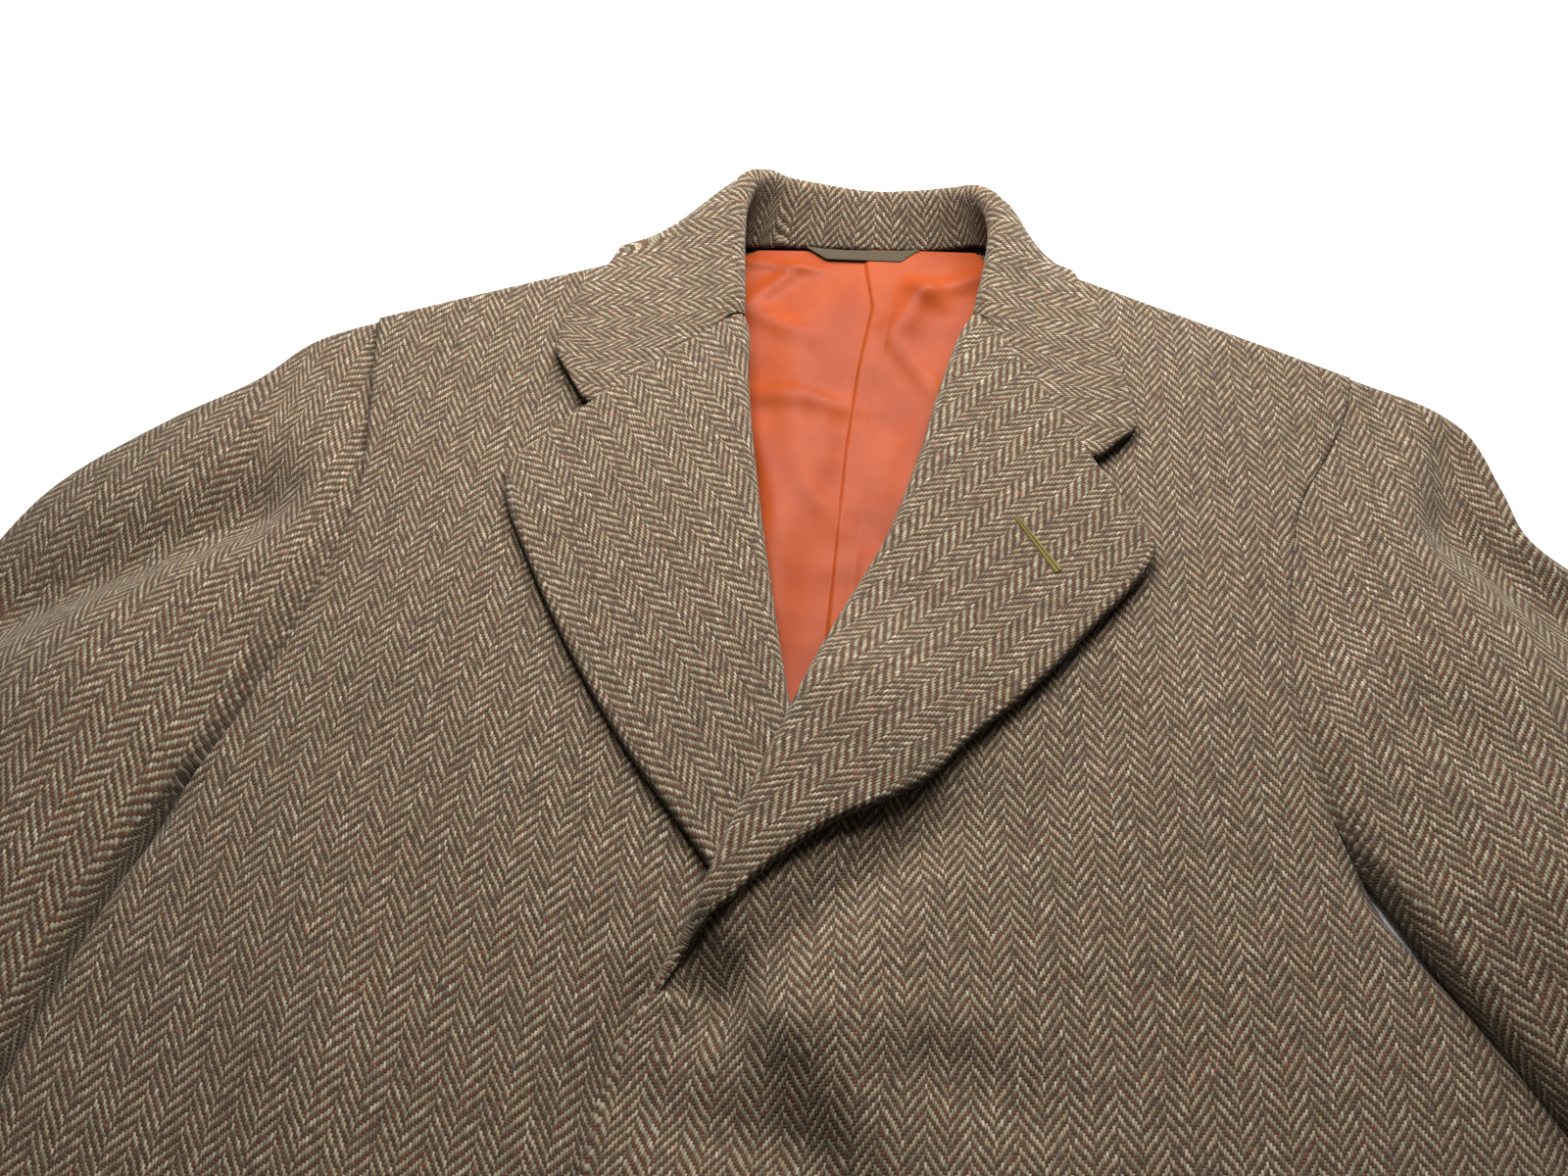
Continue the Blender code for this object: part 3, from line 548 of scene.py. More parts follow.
PLEAT = [(-14, 0), (-40, 5), (-80, 0), (-130, -3), (-200, -4), (-345, -7)]  # y, x of the pleat
PLEAT_STEP, PLEAT_WIDTH = 1.3, 1.2
STITCHED_LAP, STITCH_DEPTH = 10.0, 0.4  # the row of stitches beside the pleat


def lining_grid(rows_down, columns):
    """The back lining: straight rows between its two sides, closest together at the pleat;
    raised by its creases, by the pleat's step and by the dip of its stitches."""
    rows = hermite(LINING_ROWS, np.linspace(0, len(LINING_ROWS) - 1, rows_down))
    middle = read(PLEAT, rows[:, 1])[:, None]
    share = np.linspace(-1, 1, columns)
    ends = np.where(share < 0, middle - rows[:, :1], rows[:, 2:3] - middle)
    x = middle + ends * np.sign(share) * (0.12 * abs(share) + 0.88 * abs(share) ** 2.2)
    across = (x - rows[:, :1]) / (rows[:, 2:3] - rows[:, :1])
    plan = np.dstack([x, between(rows[:, 1:2], rows[:, 3:], across)])
    z = back_height(plan) + CLOTH / 2 + LINING_LIFT + LINING_CLOTH / 2
    z += folds(LINING_FOLDS, plan)
    beside = x - middle
    z += PLEAT_STEP * ease(-PLEAT_WIDTH, PLEAT_WIDTH, beside) * ease(90, 12, beside)
    z -= STITCH_DEPTH * np.exp(-((beside - STITCHED_LAP) ** 2)) * ease(-20, -60, plan[..., 1])
    return np.dstack([plan, z])


def satin_material():
    """Smooth woven satin: fine ribs along the cloth, a soft gloss and faint mottling."""
    material, tree, surface = plain_material("terracotta_satin", SATIN_DARK, 0.45, 0.05)
    place = add_node(tree, "UVMap", "UV", {}, uv_map="cloth")
    clouds = ramp_node(tree, noise_node(tree, place, 0.03, 3.0), 0.3, 0.7)
    colour = mix_node(tree, clouds, SATIN_DARK, SATIN_LIGHT)
    split = add_node(tree, "SeparateXYZ", 0, {0: place}).node.outputs
    ribs = stretched_noise(tree, split["X"], 3.0, split["Y"], 0.2)
    cover(tree, surface, colour, ribs, 0.25, 0.1)
    return material


lining_shape = lining_grid(110, 80)
lining = sew(
    "lining_of_back", "back_lining", [lining_shape], [lining_shape[..., :2]],
    LINING_CLOTH, satin_material(),
)

# ---- The hanger loop ----
# A narrow ribbed strap in dull olive brown, its ends caught in the neck seam, that hangs
# in a shallow curve on the lining.
LOOP_CLOTH, LOOP_WIDTH = 1.2, 1.2  # its cloth, and the least of its width that shows
LOOP_TOP = [(-33, 0.9), (-22, -0.2), (-12, -0.2), (0, 0.5), (12, 1.2), (19, 2.0), (28, 3.8)]
LOOP_FOOT = [(-32.5, 0.2), (-21.5, -7.6), (18.0, -6.4), (25.5, 1.5), (27.5, 2.4)]


def loop_grid(rows_down, columns):
    """The strap's part below the neck seam: from its top edge to its foot, at each x."""
    x = np.linspace(LOOP_FOOT[0][0], LOOP_FOOT[-1][0], rows_down)
    top = read(LOOP_TOP, x)
    foot = np.minimum(read(LOOP_FOOT, x), top - LOOP_WIDTH)
    y = between(foot[:, None], top[:, None], np.linspace(0, 1, columns))
    plan = np.dstack([np.repeat(x[:, None], columns, axis=1), y])
    z = back_height(plan) + CLOTH / 2 + LINING_LIFT + LINING_CLOTH + LOOP_CLOTH
    return np.dstack([plan, z])


loop_material = plain_material("olive_loop", (0.037, 0.030, 0.018), 0.8, 0.06)[0]
loop_shape = loop_grid(60, 8)
loop = sew(
    "loop_strap", "hanger_loop", [loop_shape], [loop_shape[..., :2]],
    LOOP_CLOTH, loop_material,
)

# ---- The fronts ----
# Two fronts of the same tweed, joined to the back at side and shoulder seams and turned
# back at the roll line into the lapels' under side. The left front laps over the right.
HEM_GAP = 0.6
ROLL_RADIUS, BREAK_RADIUS = 3.6, 1.0
LAPEL_LIFT = {-1: 2.2, 1: 4.2}
TURNED_IN = 2.2
EDGE_DIP, DIP_WIDTH = 5.4, 12.0  # of the right front, beside the left one's free edge
EDGE_FULLNESS, EDGE_TURN_DOWN = 3.2, 2.0
OVERLAP_LIFT, CROSSING_LIFT = 2.9, 10.5
CROSSING = (-47, -349, -0.778, -0.628)  # a point of the right lapel's edge, the way out from it
GORGE_ROW = 3
BREAK_ROW = {-1: 10, 1: 11}
HEIGHT_ALONG = [
    # y, height
    (-1130, 8), (-760, 9.5), (-470, 11.5), (-320, 12.5), (-210, 13.5), (-130, 16), (-60, 19),
    (40, 19),
]
FRONT_FOLDS = [
    (-205, -330, -120, -760, 26, 4), (-150, -170, -205, -300, 20, 2.6),
    (-60, -520, -40, -1050, 30, 3), (95, -420, 150, -800, 28, 4.2),
    (165, -110, 150, -250, 15, -2.6), (-62, -432, 62, -314, 14, -8),
    (-30, -418, 75, -404, 15, 2.6), (-80, -442, 20, -460, 14, -4),
    (30, -420, 100, -438, 15, -3), (130, -250, 70, -350, 18, -2.5),
    (215, -560, 235, -1000, 28, 3.6), (-230, -620, -262, -1040, 24, 3.2),
]
LAPEL_TOP = {
    -1: [(-62, -66), (-100, -101), (-129, -129), (-160, -165)],
    1: [(58, -56), (87, -99), (112, -142), (138, -183)],
}
LAPEL_EDGE = {
    -1: [
        (-160, -165), (-156, -184), (-139, -219), (-114, -262), (-84, -305), (-47, -349),
        (-20, -384), (4, -414),
    ],
    1: [
        (138, -183), (136, -192), (126, -209), (108, -232), (92, -253), (74, -273), (57, -290),
        (39.5, -312), (20, -327), (4, -336), (-14, -350), (-24, -359.5), (-34, -370.5),
        (-42.5, -379), (-49, -388), (-56, -400),
    ],
}
FRONT_GRAIN = {
    # lean in degrees, drop of the weft, and the warp's drift sideways at each v
    -1: (0, 0.26, [(-1200, 0), (-340, 0), (-70, 28), (60, 40)]),
    1: (0, -0.12, [(-1200, 0), (-420, 0), (-60, -18), (60, -25)]),
}


def front_height(side, plan):
    """Height of the middle of a front's cloth; the left front also clears what it laps."""
    x, y = plan[..., 0], plan[..., 1]
    height = read(HEIGHT_ALONG, y) + folds(FRONT_FOLDS, plan)
    if side < 0:
        beside = x - read([(row[1], row[0]) for row in LEFT_FRONT[11:]], y) + DIP_WIDTH / 2
        return height - EDGE_DIP * np.exp(-((beside / DIP_WIDTH) ** 2)) * ease(-385, -410, y)
    overlap = ease(78, 40, x) * ease(-205, -284, y)
    beyond = (x - CROSSING[0]) * CROSSING[2] + (y - CROSSING[1]) * CROSSING[3]
    crossing = ease(66, 12, x) * ease(-225, -282, y) * ease(30, 4, beyond)
    return height + OVERLAP_LIFT * overlap + CROSSING_LIFT * crossing


def roll_radius(side, along):
    """Radius of the lapel's fold: full at the gorge, tight at the break, none beyond."""
    share = (along - GORGE_ROW) / (BREAK_ROW[side] - GORGE_ROW)
    radius = ROLL_RADIUS + (BREAK_RADIUS - ROLL_RADIUS) * share**2
    return np.where((share > -1e-6) & (share < 1 + 1e-6), radius, 0.0)


ROWS_ABOVE, ROWS_OF_LAPEL, ROWS_BELOW = 12, 70, 78
WRAP, ACROSS, ROUND_ROLL, LAPEL_ACROSS = 6, 46, 9, 22


def front_rows(side):
    """Rows of a front: their place along the table, their two plan ends and the way outwards."""
    along = np.r_[
        np.linspace(0, GORGE_ROW, ROWS_ABOVE + 1)[:-1],
        np.linspace(GORGE_ROW, BREAK_ROW[side], ROWS_OF_LAPEL)[:-1],
        np.linspace(BREAK_ROW[side], len(FRONT[side]) - 1, ROWS_BELOW),
    ]
    plan = hermite(FRONT[side], along)
    inner, outer = plan[:, :2], plan[:, 2:]
    away = left_normal(inner) * side
    return along, inner + away * roll_radius(side, along)[:, None], outer, away


def front_grid(side):
    """The front from outer to inner edge, with its sides and its shoulder turned down; also
    its plan when pressed flat."""
    along, start, outer, _ = front_rows(side)
    inward = unit(start - outer)
    underarm = UNDERARM_ROW[side]
    bend = ease(underarm - 0.2, underarm + 1.0, along)
    reach, drop = bent_edge(front_height(side, outer) - HEM_GAP, bend, WRAP)
    wrap = outer[:, None] + inward[:, None] * reach[..., None]
    share = np.linspace(0, 1, ACROSS + 1)[None, 1:, None]
    flat = between(wrap[:, -1:], start[:, None], share)
    plan = np.concatenate([wrap, flat], axis=1)
    z = front_height(side, plan)
    z[:, :WRAP] -= drop
    radius = z[0] - SHOULDER_SEAM
    grid = over_the_shoulder(plan, partial(front_height, side), z, radius, radius**0)
    way = np.vstack([np.repeat(inward[:1], RIDGE, axis=0), inward[2:]])
    return grid, pressed_flat(grid, WRAP + ACROSS // 2, way)


def front_edge(grid, plan):
    """The free edge below the break: full, as the facing is inside it, then turned down. It
    is a strip of four columns beyond the front's last one."""
    rows = slice(RIDGE - 2 + ROWS_ABOVE + ROWS_OF_LAPEL - 2, None)
    fade = ease(0, 1.6, np.arange(len(grid[rows])))[:, None]
    near = np.linalg.norm(grid[rows, :, :2] - grid[rows, -1:, :2], axis=2)
    grid[rows, :, 2] += EDGE_FULLNESS * ease(30, 7, near) * fade
    last, way = grid[rows, -1], unit(grid[rows, -1, :2] - grid[rows, -3, :2])
    turn = np.radians([0, 35, 70, 105, 140])
    out, fall = EDGE_TURN_DOWN * np.sin(turn), EDGE_TURN_DOWN * (1 - np.cos(turn))
    strip = last[:, None, :2] + way[:, None] * out[:, None]
    arc = way[:, None] * (EDGE_TURN_DOWN * turn)[:, None]
    return np.dstack([strip, last[:, None, 2] - fall]), plan[rows, -1][:, None] + arc


def lapel_grid(side):
    """The turned-back lapel of a front: round the roll, then out to its edge, drawn in from
    the outline by the facing's turn. It lies closer the narrower it is."""
    along, start, _, away = front_rows(side)
    radius = roll_radius(side, along)
    rows = radius > 0
    start, away, radius = start[rows], away[rows], radius[rows][:, None]
    count = len(start)
    edge = evenly(LAPEL_EDGE[side], count)
    width = np.linalg.norm(edge - start, axis=1, keepdims=True)
    edge = edge - (edge - start) / width * np.minimum(TURNED_IN, width / 2)
    turn = np.linspace(0, np.pi, ROUND_ROLL)
    roll = start[:, None] - away[:, None] * (radius * np.sin(turn))[..., None]
    roll_z = front_height(side, start)[:, None] + radius * (1 - np.cos(turn))
    share = np.linspace(0, 1, LAPEL_ACROSS + 1)[1:]
    flat = between(start[:, None], edge[:, None], share[:, None])
    top = evenly(LAPEL_TOP[side], LAPEL_ACROSS + 1)[1:] - flat[0]
    flat += top * ((1 - np.linspace(0, 1, count)) ** 3)[:, None, None]
    outer = CLOTH + LAPEL_LIFT[side] * ease(0, 40, width)
    near = (1 - share) ** 2
    flat_z = front_height(side, flat) + between(outer, 2 * radius, near)
    plan, z = np.concatenate([roll, flat], axis=1), np.concatenate([roll_z, flat_z], axis=1)
    return np.dstack([plan, z])


HAND = {-1: "right", 1: "left"}
for side, hand in HAND.items():
    front_shape, front_plan = front_grid(side)
    lapel_shape = lapel_grid(side)
    lapel_way = unit(lapel_shape[:, -1, :2] - lapel_shape[:, ROUND_ROLL - 1, :2])
    lapel_plan = pressed_flat(lapel_shape, lapel_shape.shape[1] - 1, lapel_way)
    edge_shape, edge_plan = front_edge(front_shape, front_plan)
    grain = FRONT_GRAIN[side]
    front = sew(
        hand + "_front_panel", hand + "_front", [front_shape, lapel_shape, edge_shape],
        [
            on_the_grain(front_plan, *grain),
            on_the_grain(lapel_plan, grain[0]),
            on_the_grain(edge_plan, *grain),
        ],
    )

# ---- The facings ----
# A second tweed layer over each lapel, its warp along the lapel's outer edge. It comes
# out of the coat round the roll and is turned in at the edge, where it hides the front's.
FACING_CLOTH, FACING_GAP = 2.0, 0.3
FULL_WIDTH = 14  # of a lapel whose edge turns down by all of TURN_RADIUS
EDGE_HANG, GORGE_HANG = 1.6, 1.2  # what goes on straight after the turn
FACING_GRAIN = {-1: (34, -0.25), 1: (-45, -0.2)}  # lean in degrees, drop of the weft
TURN_RADIUS, GORGE_TURN, END_SINK = 2.0, 0.5, 2.0
TIP = [(0.75, 4), (0.45, 9), (0.12, 14)]  # share of the last row's width, reach beyond it
NOTCH_SHARE = 0.68  # where the notch is along the lapel's top


def moved_out(grid, distance):
    """The same grid moved along its own normals."""
    down, across = np.gradient(grid, axis=0), np.gradient(grid, axis=1)
    return grid + unit(np.cross(across, down)) * distance


def facing_grid(side):
    """The facing: inside the roll, round it and over the lapel, just off the front's cloth."""
    along = front_rows(side)[0]
    rows = np.flatnonzero(roll_radius(side, along) > 0)
    # The front's grid has some rows more, at the shoulder, and its columns run inwards.
    front = front_grid(side)[0][rows + RIDGE - 2]
    grid = np.concatenate([front[:, -3:-1], lapel_grid(side)], axis=1)
    grid = moved_out(grid, -side * (CLOTH / 2 + FACING_GAP + FACING_CLOTH / 2))
    outward = grid[:, -1, :2] - grid[:, ROUND_ROLL + 1, :2]
    edge_turn = TURN_RADIUS * np.clip(np.linalg.norm(outward, axis=1) / FULL_WIDTH, 0.2, 1)
    grid = turned_down(grid.transpose(1, 0, 2)[::-1], edge_turn, EDGE_HANG)
    grid = grid[::-1].transpose(1, 0, 2)
    grid[..., 2] -= END_SINK * ease(0.86, 1, np.linspace(0, 1, len(grid)))[:, None]
    plan = pressed_flat(grid, grid.shape[1] - 6, unit(outward))
    columns = np.arange(grid.shape[1])
    gorge = int(ROUND_ROLL + 2 + LAPEL_ACROSS * NOTCH_SHARE)
    radius = GORGE_TURN + (TURN_RADIUS - GORGE_TURN) * ease(gorge, gorge + 3, columns)
    up = unit(plan[0] - plan[2])
    grid[0] += unit(grid[1] - grid[0]) * radius[:, None]
    grid = turned_down(grid, radius, GORGE_HANG)
    arc = (np.arange(4, 0, -1) * 0.8)[:, None, None]
    plan[0] -= up * radius[:, None]
    plan = np.concatenate([plan[0] + up * arc, plan])
    return with_tip(grid), with_tip(plan)


def with_tip(grid):
    """The same grid with three rows more at its end, drawn in to a point beyond the fold."""
    fold = grid[:, 2 + ROUND_ROLL // 2]
    ahead = unit(fold[-1] - fold[-4])
    rows = [fold[-1] + (grid[-1] - fold[-1]) * share + ahead * reach for share, reach in TIP]
    return np.concatenate([grid, rows])


def turned_down(grid, radius, straight):
    """The same grid with four rows more before its first, which turn down by a quarter
    circle, of a radius for each column, and go on straight."""
    way = unit(grid[0, :, :2] - grid[2, :, :2])
    turn = np.radians([90, 90, 60, 30])[:, None]
    extra = np.array([straight, 0, 0, 0])[:, None] * np.minimum(radius, 1)
    plan = grid[0, :, :2] + way * (radius * np.sin(turn))[..., None]
    z = grid[0, :, 2] - radius * (1 - np.cos(turn)) - extra
    return np.concatenate([np.dstack([plan, z]), grid])


for side, hand in HAND.items():
    facing_shape, facing_plan = facing_grid(side)
    facing_map = on_the_grain(facing_plan, *FACING_GRAIN[side])
    facing = sew(
        hand + "_lapel_facing", hand + "_facing", [facing_shape], [facing_map], FACING_CLOTH
    )

# ---- The buttonhole ----
# The left lapel's buttonhole, worked by hand in khaki silk twist: close stitches across
# both sides of its cut, wider towards the lapel's edge.
SLIT = np.array([(77.0, -179.3), (95.5, -206.3)])
SLIT_WIDTH, SLIT_GAP = (2.3, 3.9), 0.1  # over the stitches, at its two ends; and beside it
SLIT_SURROUND = 24  # of the facing's points that give the height
STITCH_STEP, STITCH_RADIUS, STITCH_RISE = 0.85, 0.44, 0.55
PATH_POINTS, SIDES = 7, 6


def height_near(grid, plan):
    """Height of a grid at some plan points: a quadratic surface fitted to its points there."""
    points = grid.reshape(-1, 3)
    middle = plan.mean(axis=0)
    points = points[np.linalg.norm(points[:, :2] - middle, axis=1) < SLIT_SURROUND]

    def terms(at):
        x, y = (at - middle).T
        return np.stack([x * 0 + 1, x, y, x * x, x * y, y * y], axis=-1)

    fit = np.linalg.lstsq(terms(points[:, :2]), points[:, 2], rcond=None)[0]
    return terms(plan) @ fit


def stitch_points(grid):
    """Rings of every stitch: from the slit out to its own side, in an arch."""
    run = SLIT[1] - SLIT[0]
    length = np.hypot(*run)
    way = run / length
    across = to_left(way)
    share = np.arange(0, length, STITCH_STEP) / length
    share = np.concatenate([share, share])
    turned = np.repeat([-1.0, 1.0], len(share) // 2)
    at = SLIT[0] + run * share[:, None]
    half = np.interp(share, (0, 1), SLIT_WIDTH) / 2
    path = np.linspace(0, 1, PATH_POINTS)
    out = turned[:, None] * (SLIT_GAP + (half[:, None] - SLIT_GAP) * path)
    top = height_near(grid, at) + FACING_CLOTH / 2
    rise = STITCH_RISE * (1 - (2 * path - 0.9) ** 2) - 0.1
    centre = np.dstack([at[:, None] + across * out[..., None], top[:, None] + rise])
    angle = np.linspace(0, 2 * np.pi, SIDES, endpoint=False)
    ring = np.outer(np.cos(angle), (*way, 0)) + np.outer(np.sin(angle), (0, 0, 1))
    return centre[:, :, None] + STITCH_RADIUS * ring


stitches = stitch_points(facing_shape)
first = np.arange(len(stitches))[:, None, None, None] * PATH_POINTS * SIDES
level = np.arange(PATH_POINTS - 1)[:, None, None] * SIDES
corner = np.arange(SIDES)
beside = np.roll(corner, -1)
walls = first + level + np.stack([corner, beside, beside + SIDES, corner + SIDES], axis=-1)
first = first.reshape(-1, 1)
ends = (first + corner).tolist() + (first + (PATH_POINTS - 1) * SIDES + corner[::-1]).tolist()
buttonhole = add_mesh(
    "buttonhole_stitches",
    ((stitches.reshape(-1, 3) + NAPE) * MM).tolist(),
    walls.reshape(-1, 4).tolist() + ends,
    plain_material("khaki_twist", (0.150, 0.122, 0.036), 0.6, 0.1)[0],
)
close_up(buttonhole.data)
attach(buttonhole, "root")

# ---- The collar ----
# Upper collar and under collar in one: the stand rises from the neck seam, rolls over and
# falls back on the shoulders and on the table behind the neck. The weave runs up the stand.
COLLAR_CLOTH, COLLAR_ROLL, COLLAR_LIFT = 4.2, 4.4, 2.0
GORGE_GAP = 0.2
COLLAR = [
    # neck seam x, y, z; roll x, y, z; outer edge x, y, z; share that lies on a front
    (-68.4, -58.6, 19, -62.8, -64.6, 27.4, -151, -95, 24, 1),
    (-75.5, -51.5, 19, -62.5, -54, 29, -149, -76, 24, 1),
    (-86, -34, 19.3, -64.5, -32, 31, -143, -52, 24, 1),
    (-84, -18, 18.5, -67, -10, 36, -133, -35, 22, 0.8),
    (-80, -9, 15, -68, 6, 39.5, -129, -20, 20, 0.3),
    (-73, -3.5, 11.6, -65, 20, 41, -122, -11, 14.5, 0),
    (-61, -0.6, 9.8, -56, 28, 37, -101, -7, 4.5, 0),
    (-45, 1.2, 9.2, -46, 31, 30, -62, -12, 2.2, 0),
    (-24, 2.6, 8.9, -26, 33, 24.5, -31, -13, 2.2, 0),
    (0, 3.2, 8.9, -1, 33, 21.5, 0, -13, 2.2, 0),
    (24, 4.4, 8.9, 24, 33, 24, 30, -12, 2.2, 0),
    (45, 7.4, 9.6, 44, 32, 29, 60, -9, 2.2, 0),
    (60, 9.6, 11.2, 55, 27, 35.5, 84, -6, 3, 0),
    (72, 5.5, 12.6, 62, 17, 38.5, 98, -8, 9.5, 0),
    (79.5, -2, 15.6, 64.5, 4, 37, 106, -15, 17.5, 0.3),
    (83, -14, 18.5, 64, -10, 34, 111, -32, 22, 0.8),
    (84, -26, 19.3, 62, -25, 30, 118, -46, 24, 1),
    (74, -41.5, 19, 59.5, -42, 29, 126, -76, 24, 1),
    (65, -48.4, 19, 58.8, -54.8, 27.4, 136, -118, 24, 1),
]
STATIONS = 110
STAND, OVER, FALL = 6, 8, 18
LEAVE, LEAVE_DOWN, ARRIVE = 0.2, 0.14, 0.5  # handles of the fall's curve, in parts of its chord
GORGE_REACH = 5.0625  # rows of the table, from each end, that follow their gorge seam
SETTLING = 2.5  # how soon the fall comes down on the fronts


def collar_grid():
    """The collar: at each station the stand, the roll and the fall."""
    stations = hermite(COLLAR, np.linspace(0, len(COLLAR) - 1, STATIONS))
    neck, roll, edge, on_front = np.split(stations, [3, 6, 9], axis=1)
    up = unit(roll - neck)
    out = unit(np.cross(up, np.gradient(roll, axis=0)))
    centre = roll - up * COLLAR_ROLL
    share = np.linspace(0, 1, STAND + 1)[:-1, None]
    stand = between(neck[:, None], (centre - out * COLLAR_ROLL)[:, None], share)
    turn = np.linspace(0, np.pi, OVER)[:, None]
    fold = up[:, None] * np.sin(turn) - out[:, None] * np.cos(turn)
    fold = centre[:, None] + fold * COLLAR_ROLL
    ring = along_the_gorge(np.concatenate([stand, fold], axis=1))
    t = np.linspace(0, 1, FALL + 1)[1:, None]
    first, last = ring[:, -1], edge
    chord = last - first
    length = np.linalg.norm(chord, axis=1, keepdims=True)
    flat_back = chord * (-1, -1, 0) / np.linalg.norm(chord[:, :2], axis=1, keepdims=True)
    second = first + (out * LEAVE - up * LEAVE_DOWN) * length
    third = last + flat_back * length * ARRIVE
    fall = (
        first[:, None] * (1 - t) ** 3
        + second[:, None] * 3 * t * (1 - t) ** 2
        + third[:, None] * 3 * t**2 * (1 - t)
        + last[:, None] * t**3
    )
    fall = on_the_fronts(fall, first, last, on_front, t)
    return np.concatenate([ring, fall], axis=1)


def near_end(side, count):
    """Share by which each station follows its gorge seam: 1 at that end, 0 a few rows on."""
    rows = np.linspace(0, len(COLLAR) - 1, count)
    return np.clip(1 - (rows if side < 0 else rows[::-1]) / GORGE_REACH, 0, 1) ** 2


def along_the_gorge(ring):
    """Stand and fold, with both their ends moved down to the slanting gorge seams."""
    rising = ease(0, STAND, np.arange(STAND + OVER))
    for side, end in ((-1, 0), (1, -1)):
        top = np.array(LAPEL_TOP[side], float)
        level = np.interp(ring[end, :, 0] * side, top[:, 0] * side, top[:, 1])
        drop = (level + GORGE_GAP - ring[end, :, 1]) * rising
        ring[..., 1] += near_end(side, len(ring))[:, None] * drop
    return ring


def on_the_fronts(fall, first, last, on_front, t):
    """The fall's part that lies on a front, and its ends along the gorge seams."""
    straight = between(first[:, None], last[:, None], t)
    plan = between(fall[..., :2], straight[..., :2], on_front[:, None])
    for side, end in ((-1, 0), (1, -1)):
        top = np.array(LAPEL_TOP[side], float)
        seam = unit(top[2] - top[0])
        corner = top[2] + to_left(seam) * side * GORGE_GAP
        line = np.vstack([first[end, :2], corner, last[end, :2]])
        target = along_line(t[:, 0], (0, 0.75, 1), line)
        near = near_end(side, len(fall))
        plan = plan + (target - plan[end])[None] * near[:, None, None]
    rest = np.where(plan[..., 0] < 0, front_height(-1, plan), front_height(1, plan))
    rest = rest + CLOTH / 2 + COLLAR_LIFT + COLLAR_CLOTH / 2
    settle = rest + (first[:, None, 2] - rest[:, :1]) * (1 - t[:, 0]) ** SETTLING
    return np.dstack([plan, between(fall[..., 2], settle, on_front)])


def along_line(at, shares, line):
    """Plan points of a line of straight parts, whose corners are at some shares of it."""
    return np.stack([np.interp(at, shares, line[:, k]) for k in (0, 1)], axis=-1)


def unrolled(grid, column):
    """Flat cloth of the collar: places along the roll line, and across it. A step's share
    along the roll counts along it, the rest across."""
    roll = grid[:, column]
    way = unit(np.gradient(roll, axis=0))
    along_roll = np.r_[0, np.cumsum(np.linalg.norm(np.diff(roll, axis=0), axis=1))]
    step = np.diff(grid, axis=1)
    along = np.einsum("ijk,ik->ij", step, way)
    across = np.sqrt(np.maximum((step**2).sum(axis=2) - along**2, 0))
    flat = running_sum(np.stack([along, across], axis=-1))
    flat -= flat[:, column : column + 1]
    flat[..., 0] += along_roll[:, None]
    return flat


collar_shape = collar_grid()
collar_map = unrolled(collar_shape, STAND + OVER // 2)
collar = sew("turned_collar", "collar", [collar_shape], [collar_map], COLLAR_CLOTH)

# ---- The sleeves ----
# Each sleeve is an upper and an under piece, sewn along both sides and set into the
# armhole. They lie half flat, full at the edges, with a crown along the upper side.
SLEEVE = {
    -1: [
        # outer_x, outer_y, inner_x, inner_y, from the armhole to the cuff
        (-247.5, -73.5, -265.2, -336), (-272, -92, -272.6, -360), (-291, -121, -279.2, -386),
        (-325, -151, -284.6, -412), (-366, -196, -290, -442), (-386, -246, -300, -482),
        (-432, -335, -342, -545), (-490, -435, -387, -611), (-550, -538, -431, -670),
        (-611, -641, -473, -727),
    ],
    1: [
        (244.5, -71.5, 213.2, -327), (268, -84, 226.5, -350), (290, -104, 241, -375),
        (299, -138, 257, -399), (305, -166, 274, -425), (333, -194, 294, -452),
        (402, -290, 347, -510), (478, -392, 399, -573), (553, -490, 449, -631),
        (627, -587, 499, -687),
    ],
}
SLEEVE_FULLNESS = [
    # edge_radius, crown
    (8.9, 0), (10.5, 3), (12, 7), (13, 11), (13.5, 13), (13, 12), (11.5, 9), (9.5, 6.5),
    (7.5, 4), (6.5, 2.5),
]
SLEEVE_FOLDS = {
    -1: [
        (-226, -166, -392, -296, 17, -17), (-268, -140, -385, -232, 16, 4),
        (-285, -290, -360, -330, 26, 3), (-395, -300, -350, -480, 16, -4.5),
        (-520, -520, -440, -590, 16, -4),
    ],
    1: [
        (285, -100, 272, -176, 12, -14), (268, -160, 330, -232, 17, -16),
        (226, -262, 282, -292, 16, -4), (262, -330, 340, -400, 22, 3),
        (390, -340, 352, -470, 16, -4.5), (520, -480, 450, -560, 16, -4),
    ],
}
SLEEVE_GRAIN = {-1: (-10, 0.25), 1: (12, 0.0)}  # lean in degrees, drop of the weft
SEAM, SEAM_RETURN, ARMHOLE_GAP = 0.4, 9.0, 0.25
SEAM_DITCH = {-1: 5.0, 1: 0.7}  # how far the upper sleeve sinks at the armhole seam
STEEP = {-1: (0.05, 0.4), 1: (0.5, 0.8)}  # from where along it the sleeve rises at once
CROWN_SHIFT = 1.5  # above 1 the crown is nearer the inner edge
DITCH_WIDTH = 0.42  # in coarse rings
RINGS, EDGE_TURN, CROWN_ACROSS, UNDER_ACROSS = 72, 9, 30, 20
COARSE = 16  # rings by which the armhole's reach is counted
ARMHOLE_REACH, RISE_REACH, STEEPER = 6, 2.5, 1.6  # coarse rings: the bow, the rise, and its cut
SAMPLES = 60  # points of the armhole's curve


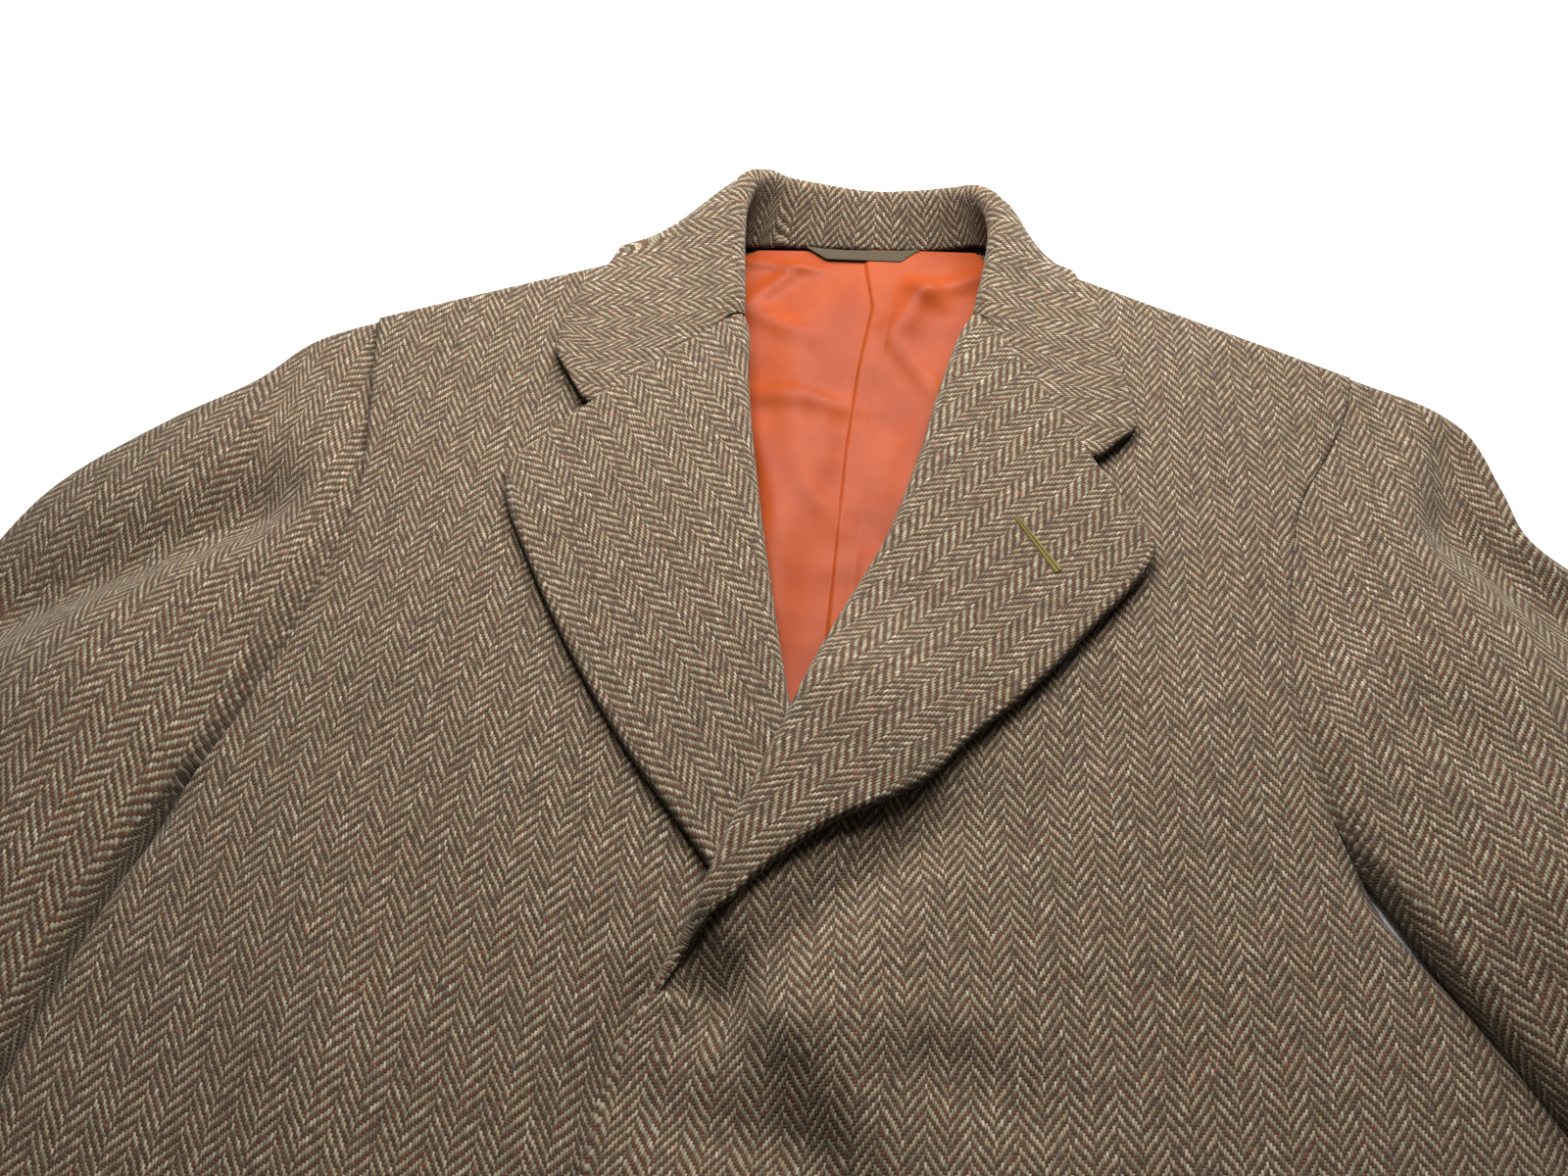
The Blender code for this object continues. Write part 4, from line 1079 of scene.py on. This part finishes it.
def sleeve_grids(side):
    """Upper and under sleeve: rings from the armhole to the cuff, flat below."""
    steps = np.linspace(0, 1, RINGS)
    coarse = steps[:, None] * COARSE
    rows = hermite(np.hstack([SLEEVE[side], SLEEVE_FULLNESS]), steps * (len(SLEEVE[side]) - 1))
    outer, inner, radius, crown = np.split(rows, [2, 4, 5], axis=1)
    width = np.linalg.norm(inner - outer, axis=1, keepdims=True)
    inward = unit(inner - outer)
    turn = np.linspace(-np.pi / 2, np.pi / 2, EDGE_TURN)
    edge_run, edge_z = radius * (1 - np.cos(turn)), radius * (1 + np.sin(turn))
    across = np.linspace(0, 1, CROWN_ACROSS + 2)[1:-1]
    flat_run = radius + (width - 2 * radius) * across
    inwards = across**CROWN_SHIFT
    flat_z = 2 * radius + crown * 4 * inwards * (1 - inwards)
    back_edge = SEAM_RETURN + radius
    far_run = (width - edge_run)[:, ::-1]
    run = np.hstack([back_edge, edge_run, flat_run, far_run, width - back_edge])
    z = np.hstack([back_edge * 0, edge_z, flat_z, edge_z[:, ::-1], back_edge * 0])
    upper = sleeve_points(side, outer, inward, width, run, z, radius, coarse)
    lift = folds(SLEEVE_FOLDS[side], upper)
    middle = np.zeros_like(lift)
    middle[:, EDGE_TURN + 1 : -EDGE_TURN - 1] = np.sin(np.pi * across) ** 0.5
    upper[..., 2] += lift * middle * ease(0, 3, coarse)
    gap = back_edge + 2 * SEAM
    run = gap + (width - 2 * gap) * np.linspace(0, 1, UNDER_ACROSS)
    under = sleeve_points(side, outer, inward, width, run, run * 0, radius, coarse)
    return upper, under, inward


def sleeve_points(side, outer, inward, width, run, z, radius, coarse):
    """Ring points: along each row by `run`, bowed to the armholes, at height z."""
    share, level = np.clip(run / width, 0, 1), np.clip(z / (2 * radius), 0, 1)
    plan = outer[:, None] + inward[:, None] * run[..., None]
    steps = np.linspace(0, 1, SAMPLES)
    chord = outer[0] + inward[0] * width[0] * steps[:, None]
    front_side = hermite(FRONT[side], np.linspace(0, UNDERARM_ROW[side], 200))[:, 2:]
    bow = 0
    for armhole, weight in ((front_side, level), (BACK_ARMHOLE[side], 1 - level)):
        curve = evenly(armhole, SAMPLES)
        away = ARMHOLE_GAP + CLOTH * ease(0.9, 1, steps)[:, None]
        off = curve + left_normal(curve) * side * away - chord
        bow = bow + weight[..., None] * along_line(share, steps, off)
    plan = plan + bow * (np.clip(1 - coarse / ARMHOLE_REACH, 0, 1) ** 2)[..., None]
    seam_z = level * (front_height(side, plan) - REST)
    start = ease(0, RISE_REACH - STEEPER * ease(*STEEP[side], share), coarse)
    sunk = np.exp(-((coarse / DITCH_WIDTH) ** 2)) * ease(0.6, 1, level)
    z = REST + z * start + seam_z * (1 - start) - SEAM_DITCH[side] * sunk
    return np.dstack([plan, z])


for side, hand in HAND.items():
    upper, under, inward = sleeve_grids(side)
    upper_plan = pressed_flat(upper, upper.shape[1] // 2, inward)
    grain = SLEEVE_GRAIN[side]
    upper_sleeve = sew(
        hand + "_upper_sleeve", hand + "_top_sleeve", [upper], [on_the_grain(upper_plan, *grain)]
    )
    under_sleeve = sew(
        hand + "_sleeve_underside", hand + "_under_sleeve", [under],
        [on_the_grain(under[..., :2], *grain)],
    )
